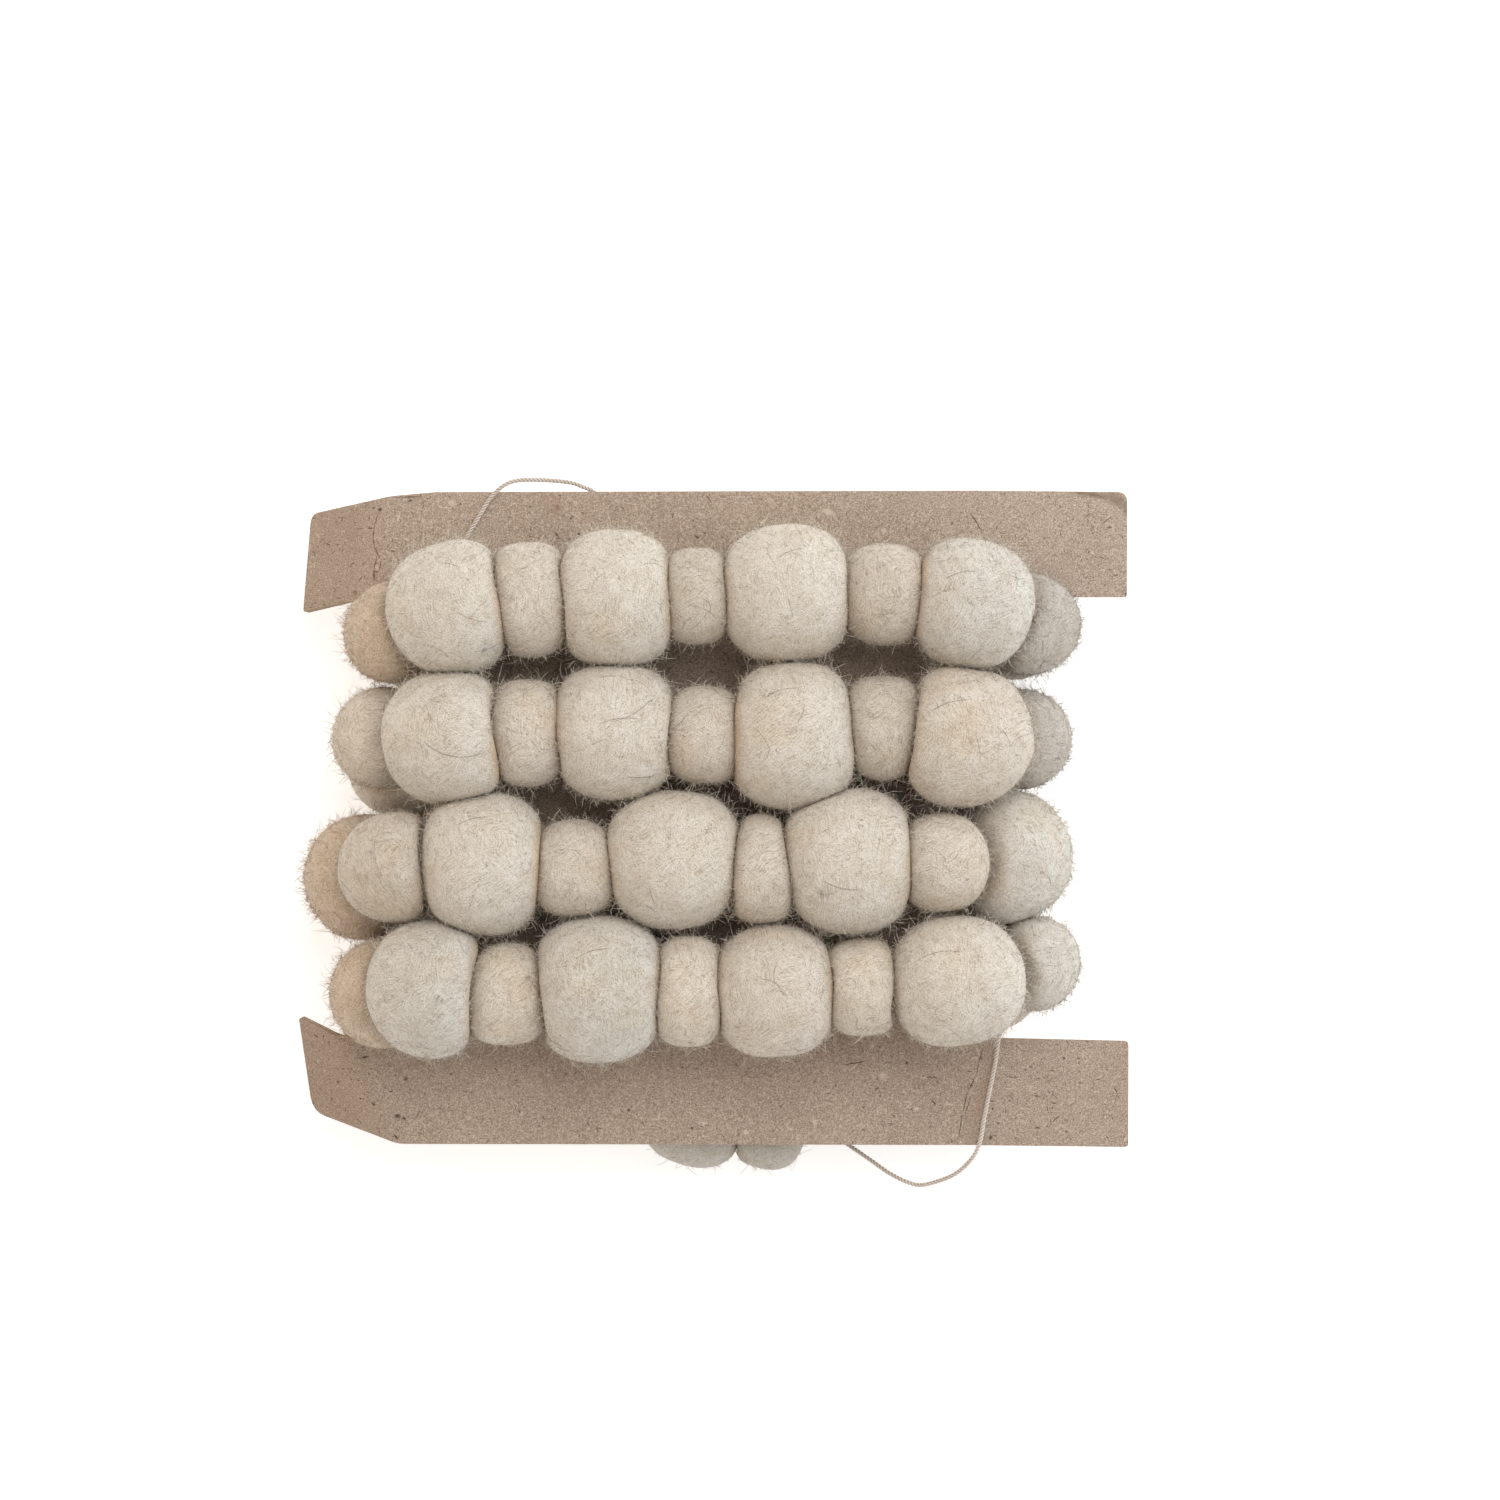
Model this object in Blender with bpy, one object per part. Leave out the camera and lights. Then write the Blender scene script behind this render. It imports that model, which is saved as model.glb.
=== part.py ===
"""A felt ball garland wound on a notched card, lying on its back.

Seventy wool balls, big and small in turn, are threaded on one string. The string is wound four
and a half times round the waist of an H-shaped grey card: five runs lie behind the card, four lie
in front of it, and one ball turns round the card's side between each two runs. The string ends
in a cord loop at each end, hung round the card's flanges.

The layout tables give places on a plan seen from straight above, in plan units of 0.3 mm, x to the
right and y downwards. plan_point() turns them into metres for a height above the table.
"""
import bpy
import bmesh
from math import cos, pi, radians, sin, sqrt
from mathutils import Matrix, Vector, noise

# The plan, seen from a point high above its middle
UNIT = 0.0003
PLAN_MIDDLE = 750.0
EYE_HEIGHT = 1.06
CARD_TOP = 0.0402

# The card
CARD_THICK = 0.0016
WAIST = (450.0, 958.0)
FLANGE_TOP = (491.0, 597.0)
FLANGE_BOTTOM = (1038.0, 1145.0)

# The balls
GAP = 0.0003
FRONT_HEIGHT = 0.0597
BACK_HEIGHT = 0.0190
BACK_SIZES = {"big": (0.0207, 100), "small": (0.0165, 62)}
FULLNESS = 1.03
BARREL = 2.7
BULGE = 1.13
ROUND_CAP = 1.05
CAP_BLEND = 12
LUMP = 0.022
LUMP_SIZE = 0.016
FREE_END = 0.94
BIG_STEPS = (14, 9)
SMALL_STEPS = (12, 8)

# The cord loops
CORD_RADIUS = 0.00065
CORD_SPACING = 0.0034

# Front runs, each listed from the left. Columns: size, plan x, plan y, width across the string,
# length along it. The first and last ball of a run turn round the card's side, and have a height.
FRONT_RUNS = {
    "front_1": [
        ("small", 395, 631, 102, 62, 0.0462),
        ("big", 455, 607, 137, 110),
        ("small", 529, 600, 117, 68),
        ("big", 616, 596, 140, 106),
        ("small", 698, 598, 102, 60),
        ("big", 787, 592, 140, 119),
        ("small", 885, 595, 103, 75),
        ("big", 971, 603, 131, 112),
        ("small", 1030, 624, 103, 62, 0.0485),
    ],
    "front_2": [
        ("small", 384, 738, 101, 62, 0.0400),
        ("big", 451, 738, 138, 100),
        ("small", 526, 733, 108, 68),
        ("big", 615, 733, 140, 112),
        ("small", 704, 735, 99, 67),
        ("big", 795, 736, 153, 114),
        ("small", 883, 729, 106, 64),
        ("big", 959, 738, 144, 110),
        ("small", 1021, 739, 101, 62, 0.0402),
    ],
    "front_3": [
        ("big", 366, 878, 127, 100, 0.0325),
        ("small", 397, 867, 111, 62, 0.0578),
        ("big", 481, 864, 146, 118),
        ("small", 574, 868, 99, 75),
        ("big", 674, 860, 141, 130),
        ("small", 763, 868, 111, 51),
        ("big", 848, 861, 149, 119),
        ("small", 946, 862, 99, 76),
        ("big", 1005, 857, 137, 110, 0.0395),
    ],
    "front_4": [
        ("small", 384, 993, 112, 62, 0.0465),
        ("big", 433, 989, 140, 100),
        ("small", 505, 994, 103, 70),
        ("big", 599, 989, 149, 122),
        ("small", 690, 991, 113, 60),
        ("big", 775, 991, 134, 111),
        ("small", 861, 987, 99, 64),
        ("big", 956, 981, 131, 139),
        ("small", 1032, 963, 97, 62, 0.0452),
    ],
}

# Back runs, each from its left ball to its right ball, evenly spaced between them.
# Columns: balls, size of the first one, plan x and y of the first, plan x and y of the last, how
# far the middle of the run bows downwards on the plan.
BACK_RUNS = {
    "back_0": (5, "big", 682, 567, 1004, 613, 0),
    "back_1": (7, "big", 410, 636, 992, 727, 3),
    "back_2": (8, "big", 417, 757, 978, 838, -2),
    "back_3": (8, "small", 398, 889, 985, 968, 2),
    "back_4": (6, "big", 404, 1008, 769, 1117, 9),
}

# Where each back run has its inner balls felted into one string of balls
JOINED_RUNS = ("back_1", "back_2", "back_3")

# The wings of the card, each creased along a line and bent down by an angle in degrees.
# Columns: crease at the flange's upper edge, crease at its lower edge, the corners beyond it as
# they lie flat, from the upper edge round to the lower one, each with its rounding, angle.
WINGS = {
    "upper_left": ((393, 492), (366, 597), [(269, 500, 11), (270, 603, 4)], 45),
    "lower_left": ((336, 1036), (398, 1144), [(285, 1024, 4), (275, 1138, 18)], 48),
    "upper_right": ((975, 491), (1000, 597), [(1128, 492, 6), (1128, 598, 3)], 2),
    "lower_right": ((984, 1038), (958, 1145), [(1128, 1042, 4), (1128, 1147, 4)], 4),
}

# Cord routes, in plan units with a height in millimetres
TOP_LOOP = [
    (617, 555, 19.6), (611, 550, 24.0), (608, 537, 29.5), (607, 520, 34.0), (603, 503, 36.3),
    (594, 492, 37.2), (583, 487, 38.8), (572, 483, 40.2), (557, 481, 41.2), (540, 480, 41.9),
    (522, 480, 42.2), (511, 482, 42.2), (503, 486, 41.9), (495, 493, 41.5), (487, 503, 41.3),
    (477, 520, 41.3), (465, 540, 41.3), (452, 562, 41.3), (441, 583, 41.6), (434, 599, 41.6),
    (430, 607, 40.2), (430, 609, 38.4), (434, 606, 36.9), (446, 598, 36.3), (472, 586, 36.1),
    (510, 573, 35.6), (548, 565, 34.2), (578, 562, 30.5), (599, 562, 25.0), (616, 563, 20.2),
]
BOTTOM_LOOP = [
    (825, 1134, 19.4), (832, 1136, 19.8), (841, 1140, 20.6), (850, 1146, 21.6), (869, 1159, 24.0),
    (889, 1173, 26.5), (907, 1182, 29.0), (920, 1185, 31.0), (935, 1182, 33.5), (953, 1175, 36.5),
    (966, 1165, 39.3), (976, 1152, 41.3), (981, 1137, 41.7), (984, 1119, 41.4), (990, 1089, 41.3),
    (995, 1064, 41.4), (998, 1043, 41.8), (1000, 1031, 41.4), (1001, 1025, 39.8),
    (1000, 1024, 38.0), (996, 1029, 36.4), (988, 1042, 36.0), (972, 1060, 36.0),
    (944, 1082, 35.2), (910, 1101, 32.0), (875, 1114, 27.0), (850, 1123, 22.5), (832, 1126, 20.3),
]


def plan_point(x, y, height):
    """A place on the plan, as the eye sees it, at a height above the table."""
    scale = UNIT * (1.0 - (height - CARD_TOP) / EYE_HEIGHT)
    return Vector(((x - PLAN_MIDDLE) * scale, (PLAN_MIDDLE - y) * scale, height))


def material(name, colour, roughness):
    """A Principled material for one piece."""
    made = bpy.data.materials.new(name)
    made.use_nodes = True
    shader = made.node_tree.nodes["Principled BSDF"]
    shader.inputs["Base Color"].default_value = (*colour, 1.0)
    shader.inputs["Roughness"].default_value = roughness
    shader.inputs["Metallic"].default_value = 0.0
    made.diffuse_color = (*colour, 1.0)
    return made


def wool(name, turn):
    """Undyed wool, a little warmer or greyer from ball to ball."""
    warm = 0.5 + 0.5 * sin(turn * 2.4)
    return material(name, (0.66 + 0.04 * warm, 0.59 + 0.02 * warm, 0.49 - 0.03 * warm), 0.95)


def other_size(size):
    return "small" if size == "big" else "big"


def front_balls(run):
    """The balls of a front run, from its left end."""
    balls = []
    for row in FRONT_RUNS[run]:
        size, x, y, width, length = row[:5]
        height = row[5] if len(row) == 6 else FRONT_HEIGHT
        centre = plan_point(x, y, height)
        radius = 0.5 * width * UNIT * FULLNESS * (1.0 - (height - CARD_TOP) / EYE_HEIGHT)
        balls.append({"size": size, "centre": centre, "radius": radius, "length": length})
    return balls


def back_balls(run):
    """The balls of a back run, from its left end."""
    count, size, x0, y0, x1, y1, bow = BACK_RUNS[run]
    balls = []
    for number in range(count):
        along = number / (count - 1)
        y = y0 + (y1 - y0) * along + 4 * bow * along * (1 - along)
        centre = plan_point(x0 + (x1 - x0) * along, y, BACK_HEIGHT)
        radius, length = BACK_SIZES[size]
        balls.append({"size": size, "centre": centre, "radius": radius, "length": length})
        size = other_size(size)
    return balls


def string_of_balls():
    """All the balls in the order they are threaded, each with its name."""
    order = []
    for turn in range(5):
        run = f"back_{turn}"
        balls = back_balls(run)
        for number, ball in enumerate(balls, 1):
            ball["name"] = f"ball_{run}_{number}"
            ball["run"] = run
            ball["inner"] = run in JOINED_RUNS and 1 < number < len(balls)
        order += balls
        if turn == 4:
            break
        run = f"front_{turn + 1}"
        balls = front_balls(run)
        for number, ball in enumerate(balls, 1):
            ball["name"] = f"ball_{run}_{number}"
            ball["run"] = run
            ball["inner"] = False
        order += reversed(balls)
    return order


def add_neighbours(order):
    """Give each ball the directions of the string and the flats where its neighbours press."""
    for number, ball in enumerate(order):
        ball["ends"] = []
        near = []
        for step in (-1, 1):
            if not 0 <= number + step < len(order):
                continue
            other = order[number + step]
            share = ball["length"] / (ball["length"] + other["length"])
            away = other["centre"] - ball["centre"]
            ball["ends"].append((away.normalized(), away.length * share))
            near.append((step, other["centre"]))
        if len(near) == 2:
            axis = near[1][1] - near[0][1]
        else:
            axis = (near[0][1] - ball["centre"]) * near[0][0]
            ball["ends"].append((-ball["ends"][0][0], ball["radius"] * FREE_END / BULGE))
        ball["axis"] = axis.normalized()
        ball["flats"] = [(way, reach - GAP / 2) for way, reach in ball["ends"][:len(near)]]


def add_side_flats(order):
    """Flats where a ball presses on balls of the other runs."""
    for number, ball in enumerate(order):
        for other_number, other in enumerate(order):
            if abs(number - other_number) < 2:
                continue
            away = other["centre"] - ball["centre"]
            far = away.length
            if far > 1.35 * (ball["radius"] + other["radius"]):
                continue
            reach = (far ** 2 + ball["radius"] ** 2 - other["radius"] ** 2) / (2 * far)
            ball["flats"].append((away / far, reach - GAP / 2))


def wing_turn(name):
    """The matrix that bends a wing down about its crease."""
    upper, lower, corners, angle = WINGS[name]
    hinge = plan_point(*upper, CARD_TOP)
    axis = plan_point(*lower, CARD_TOP) - hinge
    outwards = plan_point(*corners[0][:2], CARD_TOP) - hinge
    if axis.cross(outwards).z > 0:
        axis = -axis
    bend = Matrix.Rotation(radians(angle), 4, axis)
    return Matrix.Translation(hinge) @ bend @ Matrix.Translation(-hinge)


def card_panels():
    """The card as convex panels: corner points on its top face, and that face's way up."""
    flat = Matrix.Identity(4)
    left, right = WAIST
    panels = [
        ([(left, FLANGE_TOP[0]), (right, FLANGE_TOP[0]), (right, FLANGE_BOTTOM[1]),
          (left, FLANGE_BOTTOM[1])], flat),
    ]
    for side, edges in (("upper", FLANGE_TOP), ("lower", FLANGE_BOTTOM)):
        left_wing = WINGS[f"{side}_left"]
        right_wing = WINGS[f"{side}_right"]
        notch = edges[1] if side == "upper" else edges[0]
        outline = [left_wing[0], right_wing[0], right_wing[1], left_wing[1]]
        place = 3 if side == "upper" else 1
        corners = [(right, notch), (left, notch)]
        if side == "lower":
            corners.reverse()
        panels.append((outline[:place] + corners + outline[place:], flat))
        panels.append(([*left_wing[2], left_wing[1], left_wing[0]], wing_turn(f"{side}_left")))
        panels.append(([*right_wing[2], right_wing[1], right_wing[0]], wing_turn(f"{side}_right")))
    return panels


def nearest_in_outline(point, corners):
    """The nearest point to a point, both flat, in a convex outline."""
    middle = sum(corners, Vector((0, 0))) / len(corners)
    inside = True
    best = None
    for number, start in enumerate(corners):
        side = corners[(number + 1) % len(corners)] - start
        outwards = Vector((side.y, -side.x))
        if outwards.dot(middle - start) > 0:
            outwards = -outwards
        if outwards.dot(point - start) > 0:
            inside = False
        along = max(0.0, min(1.0, side.dot(point - start) / side.length_squared))
        place = start + side * along
        if best is None or (place - point).length < (best - point).length:
            best = place
    return point if inside else best


def add_card_flats(order):
    """Flats where a ball presses on the card, on its edges or on the table."""
    panels = card_panels()
    for ball in order:
        ball["flats"].append((Vector((0, 0, -1)), ball["centre"].z))
        for corners, turn in panels:
            place = turn.inverted() @ ball["centre"]
            outline = [plan_point(*corner[:2], CARD_TOP).to_2d() for corner in corners]
            near = nearest_in_outline(place.to_2d(), outline).to_3d()
            near.z = max(CARD_TOP - CARD_THICK, min(CARD_TOP, place.z))
            away = turn @ near - ball["centre"]
            if away.length < 1.5 * ball["radius"]:
                ball["flats"].append((away.normalized(), away.length - GAP))


def ball_reach(ball, way):
    """How far the ball's skin is from its centre.

    It is a barrel between its neighbours, no further out anywhere than the round ball it was
    rolled as, a little lumpy, with its flats.
    """
    along = way.dot(ball["axis"])
    across = sqrt(max(0.0, 1.0 - along * along)) / ball["radius"]
    total = across ** BARREL
    for end, reach in ball["ends"]:
        lean = way.dot(end)
        if lean > 0:
            total += (lean / (reach * BULGE)) ** BARREL
    cap = (ROUND_CAP * ball["radius"]) ** -CAP_BLEND
    skin = (total ** (CAP_BLEND / BARREL) + cap) ** (-1.0 / CAP_BLEND)
    skin *= 1.0 + LUMP * noise.noise((ball["centre"] + way * ball["radius"]) / LUMP_SIZE)
    for flat, reach in ball["flats"]:
        lean = way.dot(flat)
        if lean * skin > reach:
            skin = reach / lean
    return skin


def ball_rings(ball, steps):
    """Rings of points from one end of a ball to the other, with a facet facing the table."""
    round_steps, long_steps = steps
    axis = ball["axis"]
    down = Vector((0, 0, -1))
    if abs(axis.z) > 0.8:
        down = Vector((ball["centre"].x, 0, 0))
    first = (down - axis * down.dot(axis)).normalized()
    second = axis.cross(first)
    rings = []
    for step in range(1, long_steps):
        polar = pi * step / long_steps
        ring = []
        for number in range(round_steps):
            turn = 2 * pi * (number + 0.5) / round_steps
            way = -axis * cos(polar) + (first * cos(turn) + second * sin(turn)) * sin(polar)
            ring.append(ball["centre"] + way * ball_reach(ball, way))
        rings.append(ring)
    poles = [ball["centre"] + way * ball_reach(ball, way) for way in (-axis, axis)]
    return rings, poles


def string_mesh(name, balls, steps):
    """One closed skin over one ball, or over several that are felted end to end."""
    form = bmesh.new()
    rings = []
    poles = []
    for ball in balls:
        ball_ring_points, ball_poles = ball_rings(ball, steps)
        rings += ball_ring_points
        poles += ball_poles
    made = [[form.verts.new(point) for point in ring] for ring in rings]
    count = steps[0]
    for lower, upper in zip(made, made[1:]):
        for number in range(count):
            after = (number + 1) % count
            form.faces.new((lower[number], lower[after], upper[after], upper[number]))
    start = form.verts.new(poles[0])
    end = form.verts.new(poles[-1])
    for number in range(count):
        after = (number + 1) % count
        form.faces.new((start, made[0][after], made[0][number]))
        form.faces.new((end, made[-1][number], made[-1][after]))
    bmesh.ops.recalc_face_normals(form, faces=form.faces)
    mesh = bpy.data.meshes.new(name)
    form.to_mesh(mesh)
    form.free()
    mesh.shade_smooth()
    mesh.set_sharp_from_angle(angle=radians(60))
    return mesh


def make_balls(order):
    """The single balls, and the inner balls of three back runs as joined strings."""
    made = []
    joined = {}
    for number, ball in enumerate(order):
        if ball["inner"]:
            joined.setdefault(ball["run"], []).append(ball)
            continue
        steps = BIG_STEPS if ball["size"] == "big" else SMALL_STEPS
        piece = bpy.data.objects.new(ball["name"], string_mesh(ball["name"], [ball], steps))
        piece.data.materials.append(wool(ball["name"], number))
        made.append(piece)
    for number, (run, balls) in enumerate(joined.items()):
        name = f"balls_{run}_middle"
        piece = bpy.data.objects.new(name, string_mesh(name, balls, SMALL_STEPS))
        piece.data.materials.append(wool(name, number))
        made.append(piece)
    return made


def rounded(before, corner, after, reach):
    """Three points round a corner, from one side to the other."""
    back = (before - corner).normalized() * reach
    ahead = (after - corner).normalized() * reach
    return [corner + back * (1 - step) ** 2 + ahead * step ** 2 for step in (0.0, 0.5, 1.0)]


def make_card():
    """The card: a flat H with four wings, each joined to it along its crease."""
    def flat(corner):
        return plan_point(*corner[:2], CARD_TOP)

    left, right = WAIST
    top, notch_top = FLANGE_TOP
    notch_bottom, bottom = FLANGE_BOTTOM
    ul, ur = WINGS["upper_left"], WINGS["upper_right"]
    ll, lr = WINGS["lower_left"], WINGS["lower_right"]
    body = [
        ul[0], ur[0], ur[1], (right, notch_top), (right, notch_bottom), lr[0], lr[1],
        ll[1], ll[0], (left, notch_bottom), (left, notch_top), ul[1],
    ]
    form = bmesh.new()
    body_verts = [form.verts.new(flat(corner)) for corner in body]
    form.faces.new(body_verts)
    creases = {
        "upper_left": (body_verts[0], body_verts[11]),
        "upper_right": (body_verts[1], body_verts[2]),
        "lower_right": (body_verts[5], body_verts[6]),
        "lower_left": (body_verts[8], body_verts[7]),
    }
    for name, (upper, lower) in creases.items():
        start, end, corners, angle = WINGS[name]
        outline = [flat(start), *[flat(corner) for corner in corners], flat(end)]
        turn = wing_turn(name)
        soft = []
        for number, corner in enumerate(corners, 1):
            soft += rounded(*outline[number - 1:number + 2], corner[2] * UNIT)
        form.faces.new([upper, *[form.verts.new(turn @ point) for point in soft], lower])
    bmesh.ops.recalc_face_normals(form, faces=form.faces)
    bmesh.ops.triangulate(form, faces=form.faces, ngon_method="EAR_CLIP")
    if sum(face.normal.z for face in form.faces) < 0:
        bmesh.ops.reverse_faces(form, faces=form.faces)
    mesh = bpy.data.meshes.new("card")
    form.to_mesh(mesh)
    form.free()
    card = bpy.data.objects.new("card", mesh)
    card.data.materials.append(material("card", (0.36, 0.27, 0.21), 0.9))
    board = card.modifiers.new("board", "SOLIDIFY")
    board.thickness = CARD_THICK
    board.offset = -1.0
    board.use_even_offset = True
    return card


def smooth_route(points, spacing):
    """Evenly spaced points on a smooth curve through the route's own points."""
    fine = []
    for number in range(len(points) - 1):
        p0 = points[max(0, number - 1)]
        p1 = points[number]
        p2 = points[number + 1]
        p3 = points[min(len(points) - 1, number + 2)]
        for step in range(12):
            t = step / 12
            fine.append(0.5 * (2 * p1 + (p2 - p0) * t + (2 * p0 - 5 * p1 + 4 * p2 - p3) * t ** 2
                               + (3 * p1 - p0 - 3 * p2 + p3) * t ** 3))
    fine.append(points[-1])
    total = sum((b - a).length for a, b in zip(fine, fine[1:]))
    count = max(2, round(total / spacing))
    even = [fine[0]]
    walked = 0.0
    for a, b in zip(fine, fine[1:]):
        side = (b - a).length
        while len(even) < count and walked + side >= total * len(even) / count:
            even.append(a.lerp(b, (total * len(even) / count - walked) / side))
        walked += side
    even.append(fine[-1])
    return even


def make_cord(name, route):
    """A cord loop: a tube along its route."""
    points = [plan_point(x, y, height * 0.001) for x, y, height in route]
    line = bpy.data.curves.new(name, "CURVE")
    line.dimensions = "3D"
    line.bevel_depth = CORD_RADIUS
    line.bevel_resolution = 2
    line.use_fill_caps = True
    even = smooth_route(points, CORD_SPACING)
    spline = line.splines.new("POLY")
    spline.points.add(len(even) - 1)
    for place, point in zip(spline.points, even):
        place.co = (*point, 1.0)
    cord = bpy.data.objects.new(name, line)
    line.materials.append(material(name, (0.72, 0.64, 0.52), 0.85))
    return cord


for old in list(bpy.data.objects):
    bpy.data.objects.remove(old, do_unlink=True)

threaded = string_of_balls()
add_neighbours(threaded)
add_side_flats(threaded)
add_card_flats(threaded)
pieces = make_balls(threaded) + [make_card()]
cords = [make_cord("cord_loop_top", TOP_LOOP), make_cord("cord_loop_bottom", BOTTOM_LOOP)]

garland = bpy.data.objects.new("garland", None)
bpy.context.collection.objects.link(garland)
for piece in pieces + cords:
    bpy.context.collection.objects.link(piece)
    piece.parent = garland

# The frame's origin is under the middle of the balls and card
bpy.context.view_layer.update()
shapes = bpy.context.evaluated_depsgraph_get()
corners = [Vector(corner) for piece in pieces for corner in piece.evaluated_get(shapes).bound_box]
low = Vector([min(corner[axis] for corner in corners) for axis in range(3)])
high = Vector([max(corner[axis] for corner in corners) for axis in range(3)])
garland.location = (-(low.x + high.x) / 2, -(low.y + high.y) / 2, -low.z)
bpy.context.view_layer.update()
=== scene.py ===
from math import cos, pi, radians, sin, sqrt, tan

import bmesh
import bpy
import numpy as np
from mathutils import Matrix, Vector, noise


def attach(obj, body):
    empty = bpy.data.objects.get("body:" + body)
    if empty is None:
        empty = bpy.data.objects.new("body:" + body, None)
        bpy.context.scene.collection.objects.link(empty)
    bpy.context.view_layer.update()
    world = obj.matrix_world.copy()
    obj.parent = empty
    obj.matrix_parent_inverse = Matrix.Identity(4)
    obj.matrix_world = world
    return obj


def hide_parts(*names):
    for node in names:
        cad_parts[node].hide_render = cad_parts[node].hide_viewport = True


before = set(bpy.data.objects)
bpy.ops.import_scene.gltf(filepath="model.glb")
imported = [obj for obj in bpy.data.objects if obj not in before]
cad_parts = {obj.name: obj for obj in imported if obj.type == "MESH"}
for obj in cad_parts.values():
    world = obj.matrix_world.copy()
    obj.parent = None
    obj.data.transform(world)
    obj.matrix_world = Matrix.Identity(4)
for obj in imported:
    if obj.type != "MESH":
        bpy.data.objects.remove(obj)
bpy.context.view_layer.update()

# The view: straight down on the garland where it lies on its back, from a little over a metre
# above the card. Places on the plan are in units of 0.3 mm as that eye sees them, x to the right
# and y downwards, with the middle of the picture at 750, 750.
UNIT = 0.0003
PLAN_MIDDLE = 750.0
PICTURE_WIDTH = 1500
EYE_HEIGHT = 1.06
CARD_TOP = 0.0402
PLAN_CENTRE = Vector((0.0113805, 0.0250867, 0.0))


def plan_point(x, y, height):
    """A place on the plan, as the eye sees it, at a height above the table."""
    scale = UNIT * (1.0 - (height - CARD_TOP) / EYE_HEIGHT)
    return PLAN_CENTRE + Vector(((x - PLAN_MIDDLE) * scale, (PLAN_MIDDLE - y) * scale, height))


def on_card(x, y):
    """A place on the plan at the card's top face."""
    return plan_point(x, y, CARD_TOP)


scene = bpy.context.scene
eye = bpy.data.cameras.new("eye")
eye.sensor_width = 36.0
eye.lens = eye.sensor_width * EYE_HEIGHT / (PICTURE_WIDTH * UNIT)
eye_place = bpy.data.objects.new("eye", eye)
eye_place.location = plan_point(PLAN_MIDDLE, PLAN_MIDDLE, CARD_TOP + EYE_HEIGHT)
scene.collection.objects.link(eye_place)
scene.camera = eye_place
scene.view_settings.view_transform = "Standard"

# The light: a white tent all round, a little warmer and dimmer on the left and cooler on the
# right, one large soft lamp beyond the garland's upper right, and two weak ones low down.
TENT = {"left": (0.70, 0.63, 0.565), "right": (0.80, 0.835, 0.88)}
LAMPS = {
    "window": {"from": (0.34, 0.60, 1.06), "size": 1.0, "power": 6.9, "colour": (1.0, 1.0, 1.0)},
    "cool_side": {"from": (1.0, 0.1, 0.45), "size": 0.7, "power": 2.2, "colour": (0.84, 0.92, 1.0)},
    "warm_side": {"from": (-1.0, -0.1, 0.45), "size": 0.7, "power": 1.2, "colour": (1.0, 0.86, 0.72)},
}
tent = bpy.data.worlds.new("tent")
tent.use_nodes = True
wall = tent.node_tree.nodes["Background"]
way = tent.node_tree.nodes.new("ShaderNodeTexCoord")
split = tent.node_tree.nodes.new("ShaderNodeSeparateXYZ")
share = tent.node_tree.nodes.new("ShaderNodeMapRange")
share.inputs["From Min"].default_value = -0.7
share.inputs["From Max"].default_value = 0.7
hue = tent.node_tree.nodes.new("ShaderNodeMix")
hue.data_type = "RGBA"
hue.inputs[6].default_value = (*TENT["left"], 1.0)
hue.inputs[7].default_value = (*TENT["right"], 1.0)
tent.node_tree.links.new(way.outputs["Generated"], split.inputs[0])
tent.node_tree.links.new(split.outputs["X"], share.inputs["Value"])
tent.node_tree.links.new(share.outputs["Result"], hue.inputs[0])
tent.node_tree.links.new(hue.outputs[2], wall.inputs["Color"])
scene.world = tent
for name, lamp in LAMPS.items():
    light = bpy.data.lights.new(name, "AREA")
    light.shape = "DISK"
    light.size = lamp["size"]
    light.energy = lamp["power"]
    light.color = lamp["colour"]
    place = bpy.data.objects.new(name, light)
    place.location = Vector(lamp["from"])
    place.rotation_mode = "QUATERNION"
    place.rotation_quaternion = (-place.location).to_track_quat("-Z", "Y")
    scene.collection.objects.link(place)


# The card the garland is wound on: grey board 1.6 mm thick, cut to an H with a narrow waist. Its
# left ends are creased and bent back by half a right angle, and its right ends hardly at all.
CARD_THICK = 0.0016
WAIST = (450.0, 958.0)
FLANGE_TOP = (491.0, 597.0)
FLANGE_BOTTOM = (1038.0, 1145.0)
FLANGE_SHOULDER = (436, 492)
# Columns: crease at the flange's upper edge, crease at its lower edge, the corners beyond it as
# they lie flat, from the upper edge round to the lower one, each with its rounding, angle.
WINGS = {
    "upper_left": ((391, 496), (366, 597), [(266.5, 500, 11), (268, 603, 4)], 45),
    "lower_left": ((336, 1036), (398, 1144), [(283, 1026.5, 4), (273, 1136.5, 18)], 48),
    "upper_right": ((975, 490.5), (1000, 597), [(1128, 491.5, 10), (1127.5, 597, 3)], 2),
    "lower_right": ((984, 1038), (958, 1145), [(1130, 1042, 4), (1130, 1148.5, 4)], 4),
}
BEND_LENGTH = 0.0050
CARD_GRID = (0.0020, 0.0036)
CARD_WARP = (0.00030, 0.045)
EDGE_WEAR = 0.00035


def srgb(red, green, blue):
    """A colour as it is seen, from 0 to 255, as the shader's own linear one."""
    parts = [part / 255 for part in (red, green, blue)]
    return tuple(p / 12.92 if p <= 0.04045 else ((p + 0.055) / 1.055) ** 2.4 for p in parts) + (1.0,)


def rounded(before, corner, after, reach):
    """Five points round a corner, from one side to the other."""
    back = (before - corner).normalized() * reach
    ahead = (after - corner).normalized() * reach
    return [corner + back * (1 - t) ** 2 + ahead * t ** 2 for t in (0.0, 0.25, 0.5, 0.75, 1.0)]


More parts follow.
